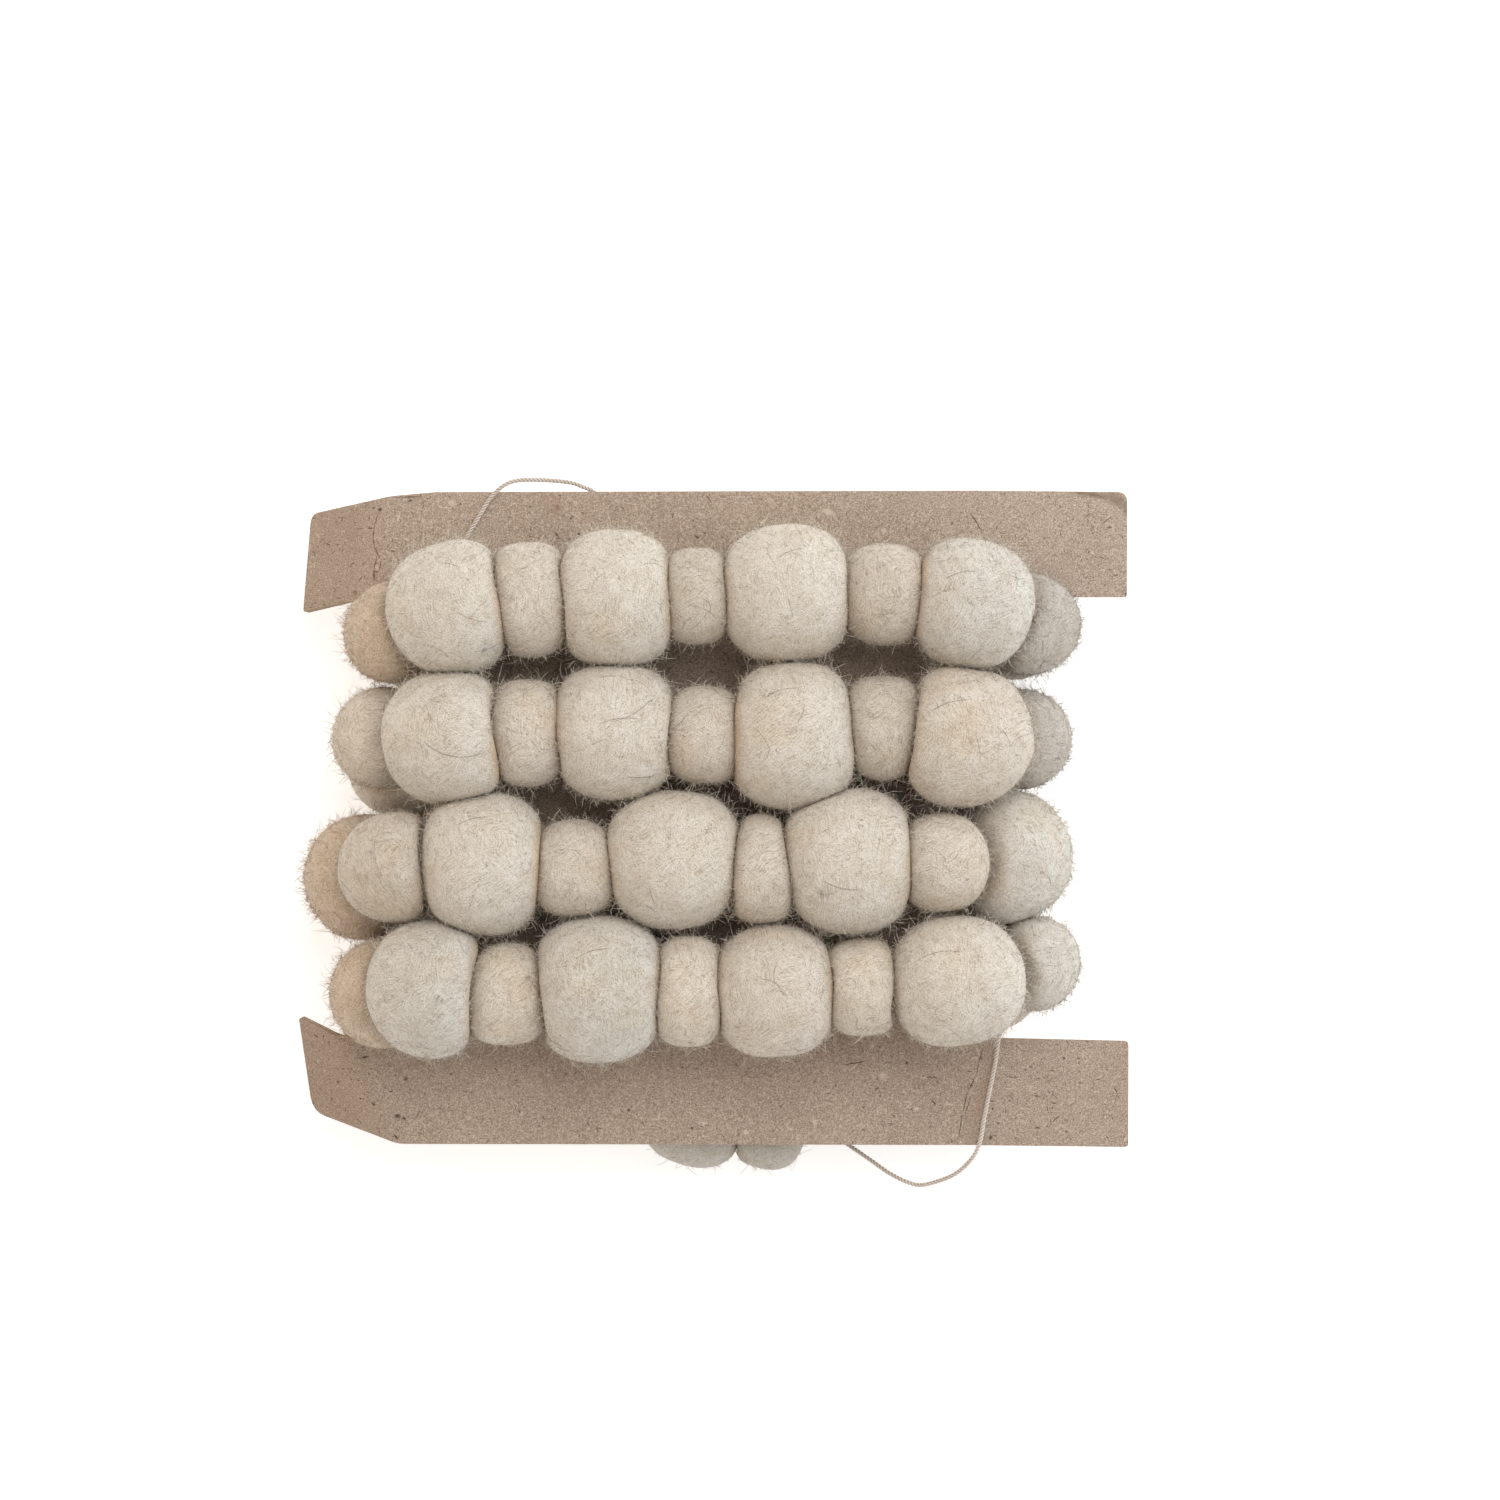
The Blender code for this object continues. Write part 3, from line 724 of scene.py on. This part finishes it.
def with_crease_shade(ball, point):
    """The wool's colour at a point of the skin, with painted shade: it is painted yellower and darker into a
    crease.
    """
    out = point - ball["centre"]
    clear = min([reach - out.dot(way) for way, reach, _ in ball["seams"]] or [1.0])
    share = CREASE_SHADE_DEPTH[ball["size"]] * max(0.0, 1.0 - clear / CREASE_SHADE_WIDTH) ** 2
    wool = WOOLS[ball["wool"]]
    return tuple(part * (1 + share * (tint - 1)) for part, tint in zip(wool, CREASE_SHADE))


HAIR_SIDES = (0.0, 2.0944, 4.1888)


class Felt:
    """One closed skin of felt, and the loose wool hairs on it, gathered as lists for one mesh."""

    def __init__(self):
        self.points = []
        self.colours = []
        self.faces = []
        self.lay = []

    def add_balls(self, balls, steps):
        """A skin over one ball, or over several end to end. Each ring keeps its place round the
        string and along it, which the wool's pattern follows."""
        around, along = steps
        rings = []
        for ball in balls:
            first, second = ball_frame(ball)
            axis = ball["axis"]
            ends = []
            for step in range(0, along + 1):
                polar = pi * step / along
                row = []
                for number in range(around if 0 < step < along else 1):
                    turn = 2 * pi * number / around
                    way = -axis * cos(polar)
                    way += (first * cos(turn) + second * sin(turn)) * sin(polar)
                    way.normalize()
                    row.append(len(self.points))
                    point = ball["centre"] + way * ball_reach(ball, way)
                    self.points.append(point)
                    # The wool's tone, with painted shade into the creases
                    self.colours.append(with_crease_shade(ball, point))
                place = ball["number"] * LAY_STEP - ball["radius"] * (pi / 2 - polar)
                ends.append((row, ball["radius"], place))
            if ball is balls[0]:
                rings.append(ends[0])
            rings += ends[1:-1]
            if ball is balls[-1]:
                rings.append(ends[-1])
        for (lower, size, low), (upper, _, high) in zip(rings, rings[1:]):
            for number in range(around):
                after = (number + 1) % around
                left = 2 * pi * number / around * size
                right = 2 * pi * (number + 1) / around * size
                if len(lower) == 1:
                    self.faces.append((lower[0], upper[after], upper[number]))
                    self.lay += [((left + right) / 2, low), (right, high), (left, high)]
                elif len(upper) == 1:
                    self.faces.append((lower[number], lower[after], upper[0]))
                    self.lay += [(left, low), (right, low), ((left + right) / 2, high)]
                else:
                    self.faces.append((lower[number], lower[after], upper[after], upper[number]))
                    self.lay += [(left, low), (right, low), (right, high), (left, high)]

    def add_hair(self, path, radius, colour):
        """One wool hair: a closed spindle of three sides along its path."""
        start = len(self.points)
        self.points.append(path[0])
        for before, here, after in zip(path, path[1:], path[2:]):
            run = (after - before).normalized()
            side = run.orthogonal().normalized()
            other = run.cross(side)
            for turn in HAIR_SIDES:
                self.points.append(here + (side * cos(turn) + other * sin(turn)) * radius)
        self.points.append(path[-1])
        count = len(path) - 2
        end = start + 1 + 3 * count
        made = []
        for side in range(3):
            after = (side + 1) % 3
            made.append((start, start + 1 + after, start + 1 + side))
            for ring in range(count - 1):
                low = start + 1 + 3 * ring
                made.append((low + side, low + after, low + 3 + after, low + 3 + side))
            last = end - 3
            made.append((last + side, last + after, end))
        self.faces += made
        self.lay += [(0.0, 0.0)] * sum(len(face) for face in made)
        self.colours += [colour] * (end + 1 - start)

    def mesh(self, name):
        made = bpy.data.meshes.new(name)
        made.from_pydata([tuple(point) for point in self.points], [], self.faces)
        lay = made.uv_layers.new(name="wool_lay")
        lay.data.foreach_set("uv", np.array(self.lay, np.float32).ravel())
        # Each point's colour: a ball's wool tone with its painted crease shade, or a cord ply's painted
        # groove shade.
        wool = made.color_attributes.new("wool", "FLOAT_COLOR", "POINT")
        wool.data.foreach_set("color", np.array(self.colours, np.float32).ravel())
        made.shade_smooth()
        return made


# Loose hairs. Short ones stand all over the felt, and long ones curl away from it. Columns: how
# many on a front ball and on a back ball, median length, spread, lean from upright in degrees,
# curl, thickness, points. A small ball has a share of them, and lengths stay between two limits.
HAIRS = {
    "short": (2100, 380, 0.0014, 0.35, (20, 78), 0.25, 0.000075, 3),
    "long": (450, 100, 0.0038, 0.45, (15, 75), 1.1, 0.000065, 4),
}
SMALL_BALL_SHARE = 0.6
HAIR_LENGTHS = (0.0006, 0.006)
HAIR_TONES = ((0.82, 1.20, 1.0), (0.15, 0.72, 0.9), (0.05, 0.22, 0.8))
BURIED = 0.0003
HAIR_CLEAR = 0.0002
# Hairs felted flat into the skin: how many on a front and a back ball, length, lift, thickness,
# points, and how far each turns aside from point to point.
FLAT_HAIRS = (70, 16, (0.004, 0.011), 0.00003, 0.000055, 8, 0.22)
SEAM_CLEAR = 0.0002


def hair_tone(wool, chance):
    """Most hairs are a little paler than the felt, some are grey and a few are dark."""
    for share, light, warm in HAIR_TONES:
        if chance < share:
            return (wool[0] * light, wool[1] * light * (0.5 + warm / 2), wool[2] * light * warm, 1.0)
        chance -= share
    return wool


def add_hairs(felt, ball, skin_faces, dice):
    """Hairs at random places on a ball's free skin."""
    corners = [[felt.points[index] for index in face[:3]] for face in skin_faces]
    normals = [(c[1] - c[0]).cross(c[2] - c[0]) for c in corners]
    areas = np.array([normal.length for normal in normals])
    middles = [(c[0] + c[1] + c[2]) / 3 for c in corners]
    free = []
    for middle, normal in zip(middles, normals):
        normal.normalize()
        out = middle - ball["centre"]
        clear = min([reach - out.dot(way) for way, reach, _ in ball["seams"]]
                    + [reach - out.dot(way) for way, reach in ball["flats"]])
        side = 1.0 - abs(normal.z)
        open_air = 0.25 if ball["front"] and normal.z < -0.1 else 1.0
        if clear < SEAM_CLEAR:
            open_air = 0.0
        free.append((open_air * (1.0 + 3.0 * side), open_air * (0.3 + 4.0 * side * side)))
    wool = WOOLS[ball["wool"]]
    for kind, weights in zip(HAIRS, np.array(free).T):
        front_count, back_count, length, spread, lean, curl, thick, count = HAIRS[kind]
        chance = areas * weights
        chance /= chance.sum()
        number = front_count if ball["front"] else back_count
        if ball["size"] == "small":
            number = int(number * SMALL_BALL_SHARE)
        picks = dice.choice(len(chance), number, p=chance)
        shares = dice.random((number, 2))
        lengths = np.clip(length * np.exp(spread * dice.standard_normal(number)), *HAIR_LENGTHS)
        leans = np.radians(dice.uniform(lean[0], lean[1], number))
        turns = dice.uniform(0, 2 * pi, number)
        bends = curl * dice.standard_normal((number, 2))
        tones = dice.random(number)
        for k in range(number):
            a, b, c = corners[picks[k]]
            s, t = shares[k]
            if s + t > 1:
                s, t = 1 - s, 1 - t
            root = a + (b - a) * s + (c - a) * t
            out = normals[picks[k]]
            flat = out.orthogonal().normalized()
            flat = flat * cos(turns[k]) + out.cross(flat) * sin(turns[k])
            cross = out.cross(flat)
            run = out * cos(leans[k]) + flat * sin(leans[k])
            sag = cross * bends[k][0] - out * abs(bends[k][1]) * 0.5
            path = []
            for step in range(count):
                along = step / (count - 1)
                path.append(root - out * BURIED + (run * along + sag * along * along * 0.5) * lengths[k])
            if min(point.z for point in path) > HAIR_CLEAR:
                felt.add_hair(path, thick, hair_tone(wool, tones[k]))


def on_skin(ball, way, lift):
    """A point a little above the skin, or None where the ball is pressed against something."""
    out = way * (ball_reach(ball, way) + lift)
    flats = [(flat, reach) for flat, reach, _ in ball["seams"]] + ball["flats"]
    if min(reach - out.dot(flat) for flat, reach in flats) < SEAM_CLEAR:
        return None
    return ball["centre"] + out


def add_flat_hairs(felt, ball, dice):
    """Longer hairs that lie along the skin in gentle curves."""
    front_count, back_count, (short, long), lift, thick, count, wander = FLAT_HAIRS
    wool = WOOLS[ball["wool"]]
    for _ in range(front_count if ball["front"] else back_count):
        way = Vector(dice.standard_normal(3)).normalized()
        run = way.cross(Vector(dice.standard_normal(3))).normalized()
        stride = dice.uniform(short, long) / (count - 1) / ball["radius"]
        turn = wander * dice.standard_normal()
        tone = hair_tone(wool, dice.random())
        path = []
        for _ in range(count):
            point = on_skin(ball, way, lift)
            if point is None:
                break
            path.append(point)
            way = (way + run * stride).normalized()
            run = (run - way * run.dot(way)).normalized()
            run = (run * cos(turn) + way.cross(run) * sin(turn)).normalized()
        if len(path) > 3:
            felt.add_hair(path, thick, tone)


# Hairs and marks that show from above, on front balls. Columns of a hair: run and place of its ball,
# plan x and y of its two ends, how far its middle bows to the right of its run. Columns of a mark:
# run and place of its ball, plan x, y, radius, colour.
DARK_HAIR_THICK = 0.00005
DARK_HAIRS = [
    ("1_4", 650, 558, 662, 561, 1), ("1_4", 640, 566, 664, 568, -4), ("1_4", 603, 571, 606, 575, 0),
    ("1_2", 456, 611, 490, 622, 3), ("1_2", 440, 563, 462, 569, -2), ("1_2", 505, 640, 474, 652, -2),
    ("2_2", 423, 741, 485, 752, 10), ("2_4", 612, 722, 652, 698, 4), ("2_4", 598, 724, 640, 719, -3),
    ("2_5", 682, 734, 686, 738, 0), ("3_1", 360, 899, 374, 905, 1), ("2_4", 625, 777, 655, 776, 1),
    ("3_5", 640, 836, 652, 829, 1), ("4_6", 777, 985, 789, 999, 1), ("1_6", 776, 560, 806, 548, -3),
    ("2_6", 762, 700, 800, 688, -4), ("3_3", 455, 826, 492, 817, -3), ("3_7", 822, 880, 862, 889, 4),
    ("4_4", 574, 960, 612, 949, -4), ("4_8", 915, 962, 962, 952, -5), ("2_8", 930, 712, 972, 700, -4),
    ("1_8", 944, 580, 980, 572, -4),
]
SMUDGE = srgb(140, 132, 124)
PINK = srgb(196, 160, 142)
SOOT = srgb(104, 94, 86)
FELT_MARKS = [
    ("1_8", 971, 602, 4.5, SMUDGE), ("1_8", 978, 600, 3, SMUDGE), ("1_2", 470, 620, 3.5, PINK),
    ("3_3", 486, 866, 2.2, SOOT), ("3_3", 522, 864, 1.6, SOOT), ("3_6", 765, 871, 2.0, SOOT),
    ("3_7", 825, 830, 1.8, SOOT), ("3_7", 861, 820, 1.8, SOOT), ("3_7", 824, 894, 6.0, SMUDGE),
    ("4_2", 439, 1001, 4.5, SMUDGE), ("4_3", 528, 978, 4.0, SMUDGE), ("4_8", 907, 957, 6.0, SMUDGE),
    ("4_9", 1021, 948, 2.2, SOOT), ("1_3", 512, 597, 4.0, SMUDGE), ("1_2", 487, 648, 8.0, SMUDGE),
    ("4_6", 783, 992, 3.0, SMUDGE), ("3_1", 366, 902, 2.0, SOOT), ("1_7", 880, 566, 6.0, SMUDGE),
]


def skin_under(ball, x, y, lift):
    """The point of a ball's upper skin that the eye sees at a place on the plan."""
    centre = ball["centre"]
    aim = plan_point(x, y, centre.z + ball["radius"]) - centre
    for _ in range(6):
        up = sqrt(max(0.02, 1.0 - (aim.x ** 2 + aim.y ** 2) / ball["radius"] ** 2)) * ball["radius"]
        way = Vector((aim.x, aim.y, up)).normalized()
        point = centre + way * (ball_reach(ball, way) + lift)
        aim += plan_point(x, y, point.z) - point
    return point


def add_dark_hair(felt, ball, x0, y0, x1, y1, bow):
    """One long dark hair along the skin."""
    run = Vector((x1 - x0, y1 - y0))
    aside = Vector((-run.y, run.x)).normalized() * bow
    count = max(4, int(run.length / 4))
    path = []
    for step in range(count):
        t = step / (count - 1)
        place = Vector((x0, y0)) + run * t + aside * 4 * t * (1 - t)
        path.append(skin_under(ball, place.x, place.y, DARK_HAIR_THICK))
    felt.add_hair(path, DARK_HAIR_THICK, SOOT)


def undyed_felt(balls):
    n = Nodes("undyed_felt")
    lay = n.add("ShaderNodeUVMap", "UV", {"uv_map": "wool_lay"})
    place = n.add("ShaderNodeTexCoord", "Object")
    # Each point's wool tone, with the painted shade in its creases.
    wool = n.add("ShaderNodeAttribute", "Color", {"attribute_name": "wool"})
    flow = n.shaken(lay, 60.0, (0.012, 0.012, 0.0))
    around = n.streaks(flow, 0, (190, 3200, 1))
    slanting = n.streaks(flow, 58, (200, 3100, 1))
    falling = n.streaks(flow, -48, (210, 3300, 1))
    which = n.span(n.grain(place, 80, 1.0), 0.44, 0.56)
    fibres = n.sum("ADD", n.blend("MIX", which, around, slanting), n.sum("MULTIPLY", falling, 0.6))
    fine = n.grain(place, 2900, 2.0, 0.7)
    cloud = n.grain(place, 150, 3.0)
    patches = n.grain(place, 48, 2.0)
    colour = n.blend("MULTIPLY", n.span(cloud, 0.60, 0.36, 0.0, 0.35), wool, srgb(226, 216, 204))
    colour = n.tint("MULTIPLY", colour, (244, 230, 208), patches, 0.52, 0.70, 0.35)
    colour = n.tint("MULTIPLY", colour, (186, 177, 165), fibres, 0.80, 0.60, 0.72)
    colour = n.tint("SCREEN", colour, (170, 163, 150), fibres, 0.80, 1.02, 0.38)
    colour = n.tint("MULTIPLY", colour, (190, 182, 171), fine, 0.52, 0.30, 0.78)
    colour = n.tint("SCREEN", colour, (160, 152, 140), fine, 0.50, 0.70, 0.50)
    specks = n.streaks(flow, -20, (800, 2800, 1), 1.0, 0.6)
    colour = n.tint("MULTIPLY", colour, (138, 126, 116), specks, 0.71, 0.78, 0.8)
    stray = Vector((0.0016, 0.0016, 0.0016))
    shaken = n.shaken(place, 1100.0, stray)
    strands = n.span(fibres, 0.84, 0.72, 0.1, 1.0)
    for ball, x, y, radius, shade in FELT_MARKS:
        middle = skin_under(balls[f"ball_front_{ball}"], x, y, 0.0) + stray / 2
        far = n.add("ShaderNodeVectorMath", "Value", {"operation": "DISTANCE"}, i0=shaken, i1=middle)
        cover = n.sum("MULTIPLY", n.span(far, radius * UNIT * 1.4, radius * UNIT * 0.3, 0.0, 0.8), strands)
        colour = n.blend("MIX", cover, colour, shade)
    soft = n.bump(fibres, 0.00010, n.bump(cloud, 0.0005))
    return n.finish(colour, n.bump(fine, 0.00008, soft), Roughness=0.95, Specular_IOR_Level=0.15,
                    Sheen_Weight=0.25, Sheen_Roughness=0.6, Sheen_Tint=(1.0, 0.97, 0.92, 1.0))


threaded = string_of_balls()
add_neighbours(threaded)
add_side_flats(threaded)
add_card_flats(threaded)
strings = {}
for ball in threaded:
    node = f"balls_{ball['run']}_middle" if ball["inner"] else ball["name"]
    strings.setdefault(node, []).append(ball)
felt_finish = undyed_felt({ball["name"]: ball for ball in threaded})
for number, (node, balls) in enumerate(strings.items()):
    felt = Felt()
    dice = np.random.default_rng(1000 + number)
    steps = FRONT_STEPS if balls[0]["front"] else BACK_STEPS
    felt.add_balls(balls, steps["small" if len(balls) > 1 else balls[0]["size"]])
    skin = list(felt.faces)
    for ball in balls:
        near = [face for face in skin
                if all((felt.points[i] - ball["centre"]).length <= 1.2 * ball["radius"] for i in face)]
        add_hairs(felt, ball, near, dice)
        add_flat_hairs(felt, ball, dice)
        for place, *hair in DARK_HAIRS:
            if ball["name"] == f"ball_front_{place}":
                add_dark_hair(felt, ball, *hair)
    piece = bpy.data.objects.new(f"felt_{node}", felt.mesh(f"felt_{node}"))
    scene.collection.objects.link(piece)
    piece.data.materials.append(felt_finish)
    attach(piece, "root")
    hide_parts(node)


# The end loops: three-ply cotton cord, 1.3 mm thick. At each end it comes out of the last ball,
# goes over the card's edge, lies across its front under a ball and goes back behind the card
# into the same ball.
PLY_RADIUS = 0.00034
PLY_OFFSET = 0.00036
PLY_PITCH = 0.0034
PLIES = 3
PLY_SIDES = 7
RING_SPACING = 0.00028
COTTON_HAIRS = 150
ROUTE_STEPS = 12
# Routes in plan units, with a height in millimetres
END_LOOPS = {
    "cord_loop_top": [
        (617, 555, 19.6), (611, 550, 24.0), (608, 537, 29.5), (607, 520, 34.0), (603, 503, 36.3),
        (594, 492, 37.2), (583, 487, 38.8), (572, 483, 40.2), (557, 481, 41.2), (540, 480, 41.9),
        (522, 480, 42.2), (511, 482, 42.2), (503, 486, 41.9), (495, 493, 41.5), (487, 503, 41.3),
        (477, 520, 41.3), (465, 540, 41.3), (452, 562, 41.3), (441, 583, 41.6), (434, 599, 41.6),
        (430, 607, 40.2), (430, 609, 38.4), (434, 606, 36.9), (446, 598, 36.3), (472, 586, 36.1),
        (510, 573, 35.6), (548, 565, 34.2), (578, 562, 30.5), (599, 562, 25.0), (616, 563, 20.2),
    ],
    "cord_loop_bottom": [
        (825, 1134, 19.4), (832, 1136, 19.8), (841, 1140, 20.6), (850, 1146, 21.6),
        (869, 1159, 24.0), (889, 1173, 26.5), (907, 1182, 29.0), (920, 1185, 31.0),
        (935, 1182, 33.5), (953, 1175, 36.5), (966, 1165, 39.3), (976, 1152, 41.3),
        (981, 1137, 41.7), (984, 1119, 41.4), (990, 1089, 41.3), (995, 1064, 41.4),
        (998, 1043, 41.8), (1000, 1031, 41.4), (1001, 1025, 39.8), (1000, 1024, 38.0),
        (996, 1029, 36.4), (988, 1042, 36.0), (972, 1060, 36.0), (944, 1082, 35.2),
        (910, 1101, 32.0), (875, 1114, 27.0), (850, 1123, 22.5), (832, 1126, 20.3),
    ],
}


def smooth_route(points, spacing):
    """Evenly spaced points on a smooth curve through the route's own points."""
    fine = []
    for number in range(len(points) - 1):
        p0 = points[max(0, number - 1)]
        p1 = points[number]
        p2 = points[number + 1]
        p3 = points[min(len(points) - 1, number + 2)]
        for step in range(ROUTE_STEPS):
            t = step / ROUTE_STEPS
            fine.append(0.5 * (2 * p1 + (p2 - p0) * t + (2 * p0 - 5 * p1 + 4 * p2 - p3) * t ** 2
                               + (3 * p1 - p0 - 3 * p2 + p3) * t ** 3))
    fine.append(points[-1])
    total = sum((b - a).length for a, b in zip(fine, fine[1:]))
    count = max(2, round(total / spacing))
    even = [fine[0]]
    walked = 0.0
    for a, b in zip(fine, fine[1:]):
        side = (b - a).length
        while len(even) < count and walked + side >= total * len(even) / count:
            even.append(a.lerp(b, (total * len(even) / count - walked) / side))
        walked += side
    even.append(fine[-1])
    return even, total


def twisted_cord(name, line, dice):
    """Three plies twisted round the line, each a closed tube, with a few loose cotton hairs."""
    felt = Felt()
    runs = [(b - a).normalized() for a, b in zip(line, line[1:])]
    runs.append(runs[-1])
    side = runs[0].orthogonal().normalized()
    frames = []
    for run in runs:
        side = (side - run * side.dot(run)).normalized()
        frames.append((side, run.cross(side)))
    cotton = (1.0, 1.0, 1.0, 1.0)
    for ply in range(PLIES):
        before = None
        for number, (point, (side, other)) in enumerate(zip(line, frames)):
            turn = 2 * pi * (number * RING_SPACING / PLY_PITCH + ply / PLIES)
            middle = point + (side * cos(turn) + other * sin(turn)) * PLY_OFFSET
            ring = []
            for corner in range(PLY_SIDES):
                angle = 2 * pi * corner / PLY_SIDES
                ring.append(len(felt.points))
                felt.points.append(middle + (side * cos(angle) + other * sin(angle)) * PLY_RADIUS)
                # Painted shade: each ply is darker where it turns in towards the cord's middle, in the
                # grooves between plies.
                shade = (felt.points[-1] - point).length / (PLY_OFFSET + PLY_RADIUS)
                felt.colours.append((shade, shade, shade, 1.0))
            if before is None:
                felt.faces.append(tuple(reversed(ring)))
                felt.lay += [(0.0, 0.0)] * PLY_SIDES
            else:
                for corner in range(PLY_SIDES):
                    after = (corner + 1) % PLY_SIDES
                    felt.faces.append((before[corner], before[after], ring[after], ring[corner]))
                    felt.lay += [(0.0, 0.0)] * 4
            before = ring
        felt.faces.append(tuple(before))
        felt.lay += [(0.0, 0.0)] * PLY_SIDES
    for _ in range(COTTON_HAIRS):
        number = int(dice.integers(0, len(line)))
        side, other = frames[number]
        turn = dice.uniform(0, 2 * pi)
        out = side * cos(turn) + other * sin(turn)
        run = (out * 0.5 + runs[number] * dice.choice((-1, 1))).normalized()
        length = dice.uniform(0.0006, 0.0016)
        root = line[number] + out * 0.0005
        felt.add_hair([root, root + run * length * 0.5, root + (run + out * 0.2) * length], 0.00003, cotton)
    return felt.mesh(name)


def cotton_cord():
    n = Nodes("cotton_cord")
    place = n.add("ShaderNodeTexCoord", "Object")
    fine = n.grain(place, 2600, 2.0, 0.7)
    tone = n.grain(place, 180, 2.0)
    # The plies' painted groove shade, which darkens the cord's colour.
    groove_shade = n.add("ShaderNodeAttribute", "Color", {"attribute_name": "wool"})
    colour = n.blend("MIX", n.span(tone, 0.35, 0.65), srgb(220, 206, 193), srgb(230, 219, 207))
    colour = n.tint("MULTIPLY", colour, (190, 178, 168), fine, 0.45, 0.25, 0.5)
    colour = n.blend("MULTIPLY", 1.0, colour, groove_shade)
    return n.finish(colour, n.bump(fine, 0.00008), Roughness=0.8, Sheen_Weight=0.15)


cotton_finish = cotton_cord()
for number, (node, route) in enumerate(END_LOOPS.items()):
    points = [plan_point(x, y, height * 0.001) for x, y, height in route]
    line, length = smooth_route(points, RING_SPACING)
    mesh = twisted_cord(f"cotton_{node}", line, np.random.default_rng(70 + number))
    loop = bpy.data.objects.new(f"cotton_{node}", mesh)
    scene.collection.objects.link(loop)
    mesh.materials.append(cotton_finish)
    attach(loop, "root")
    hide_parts(node)


# The table: one large sheet of white paper, lit softly from below.
TABLE_SIDE = 4.0
paper_form = bmesh.new()
bmesh.ops.create_grid(paper_form, x_segments=2, y_segments=2, size=TABLE_SIDE / 2)
paper_mesh = bpy.data.meshes.new("paper")
paper_form.to_mesh(paper_mesh)
paper_form.free()
paper = bpy.data.objects.new("paper", paper_mesh)
scene.collection.objects.link(paper)
white = Nodes("white_paper")
grain = white.grain(white.add("ShaderNodeTexCoord", "Object"), 60, 2.0)
shade = white.blend("MIX", white.span(grain, 0.3, 0.7), srgb(244, 243, 241), srgb(246, 245, 243))
paper_mesh.materials.append(
    white.finish(shade, Roughness=0.9, Emission_Color=(1.0, 1.0, 1.0, 1.0), Emission_Strength=0.42))
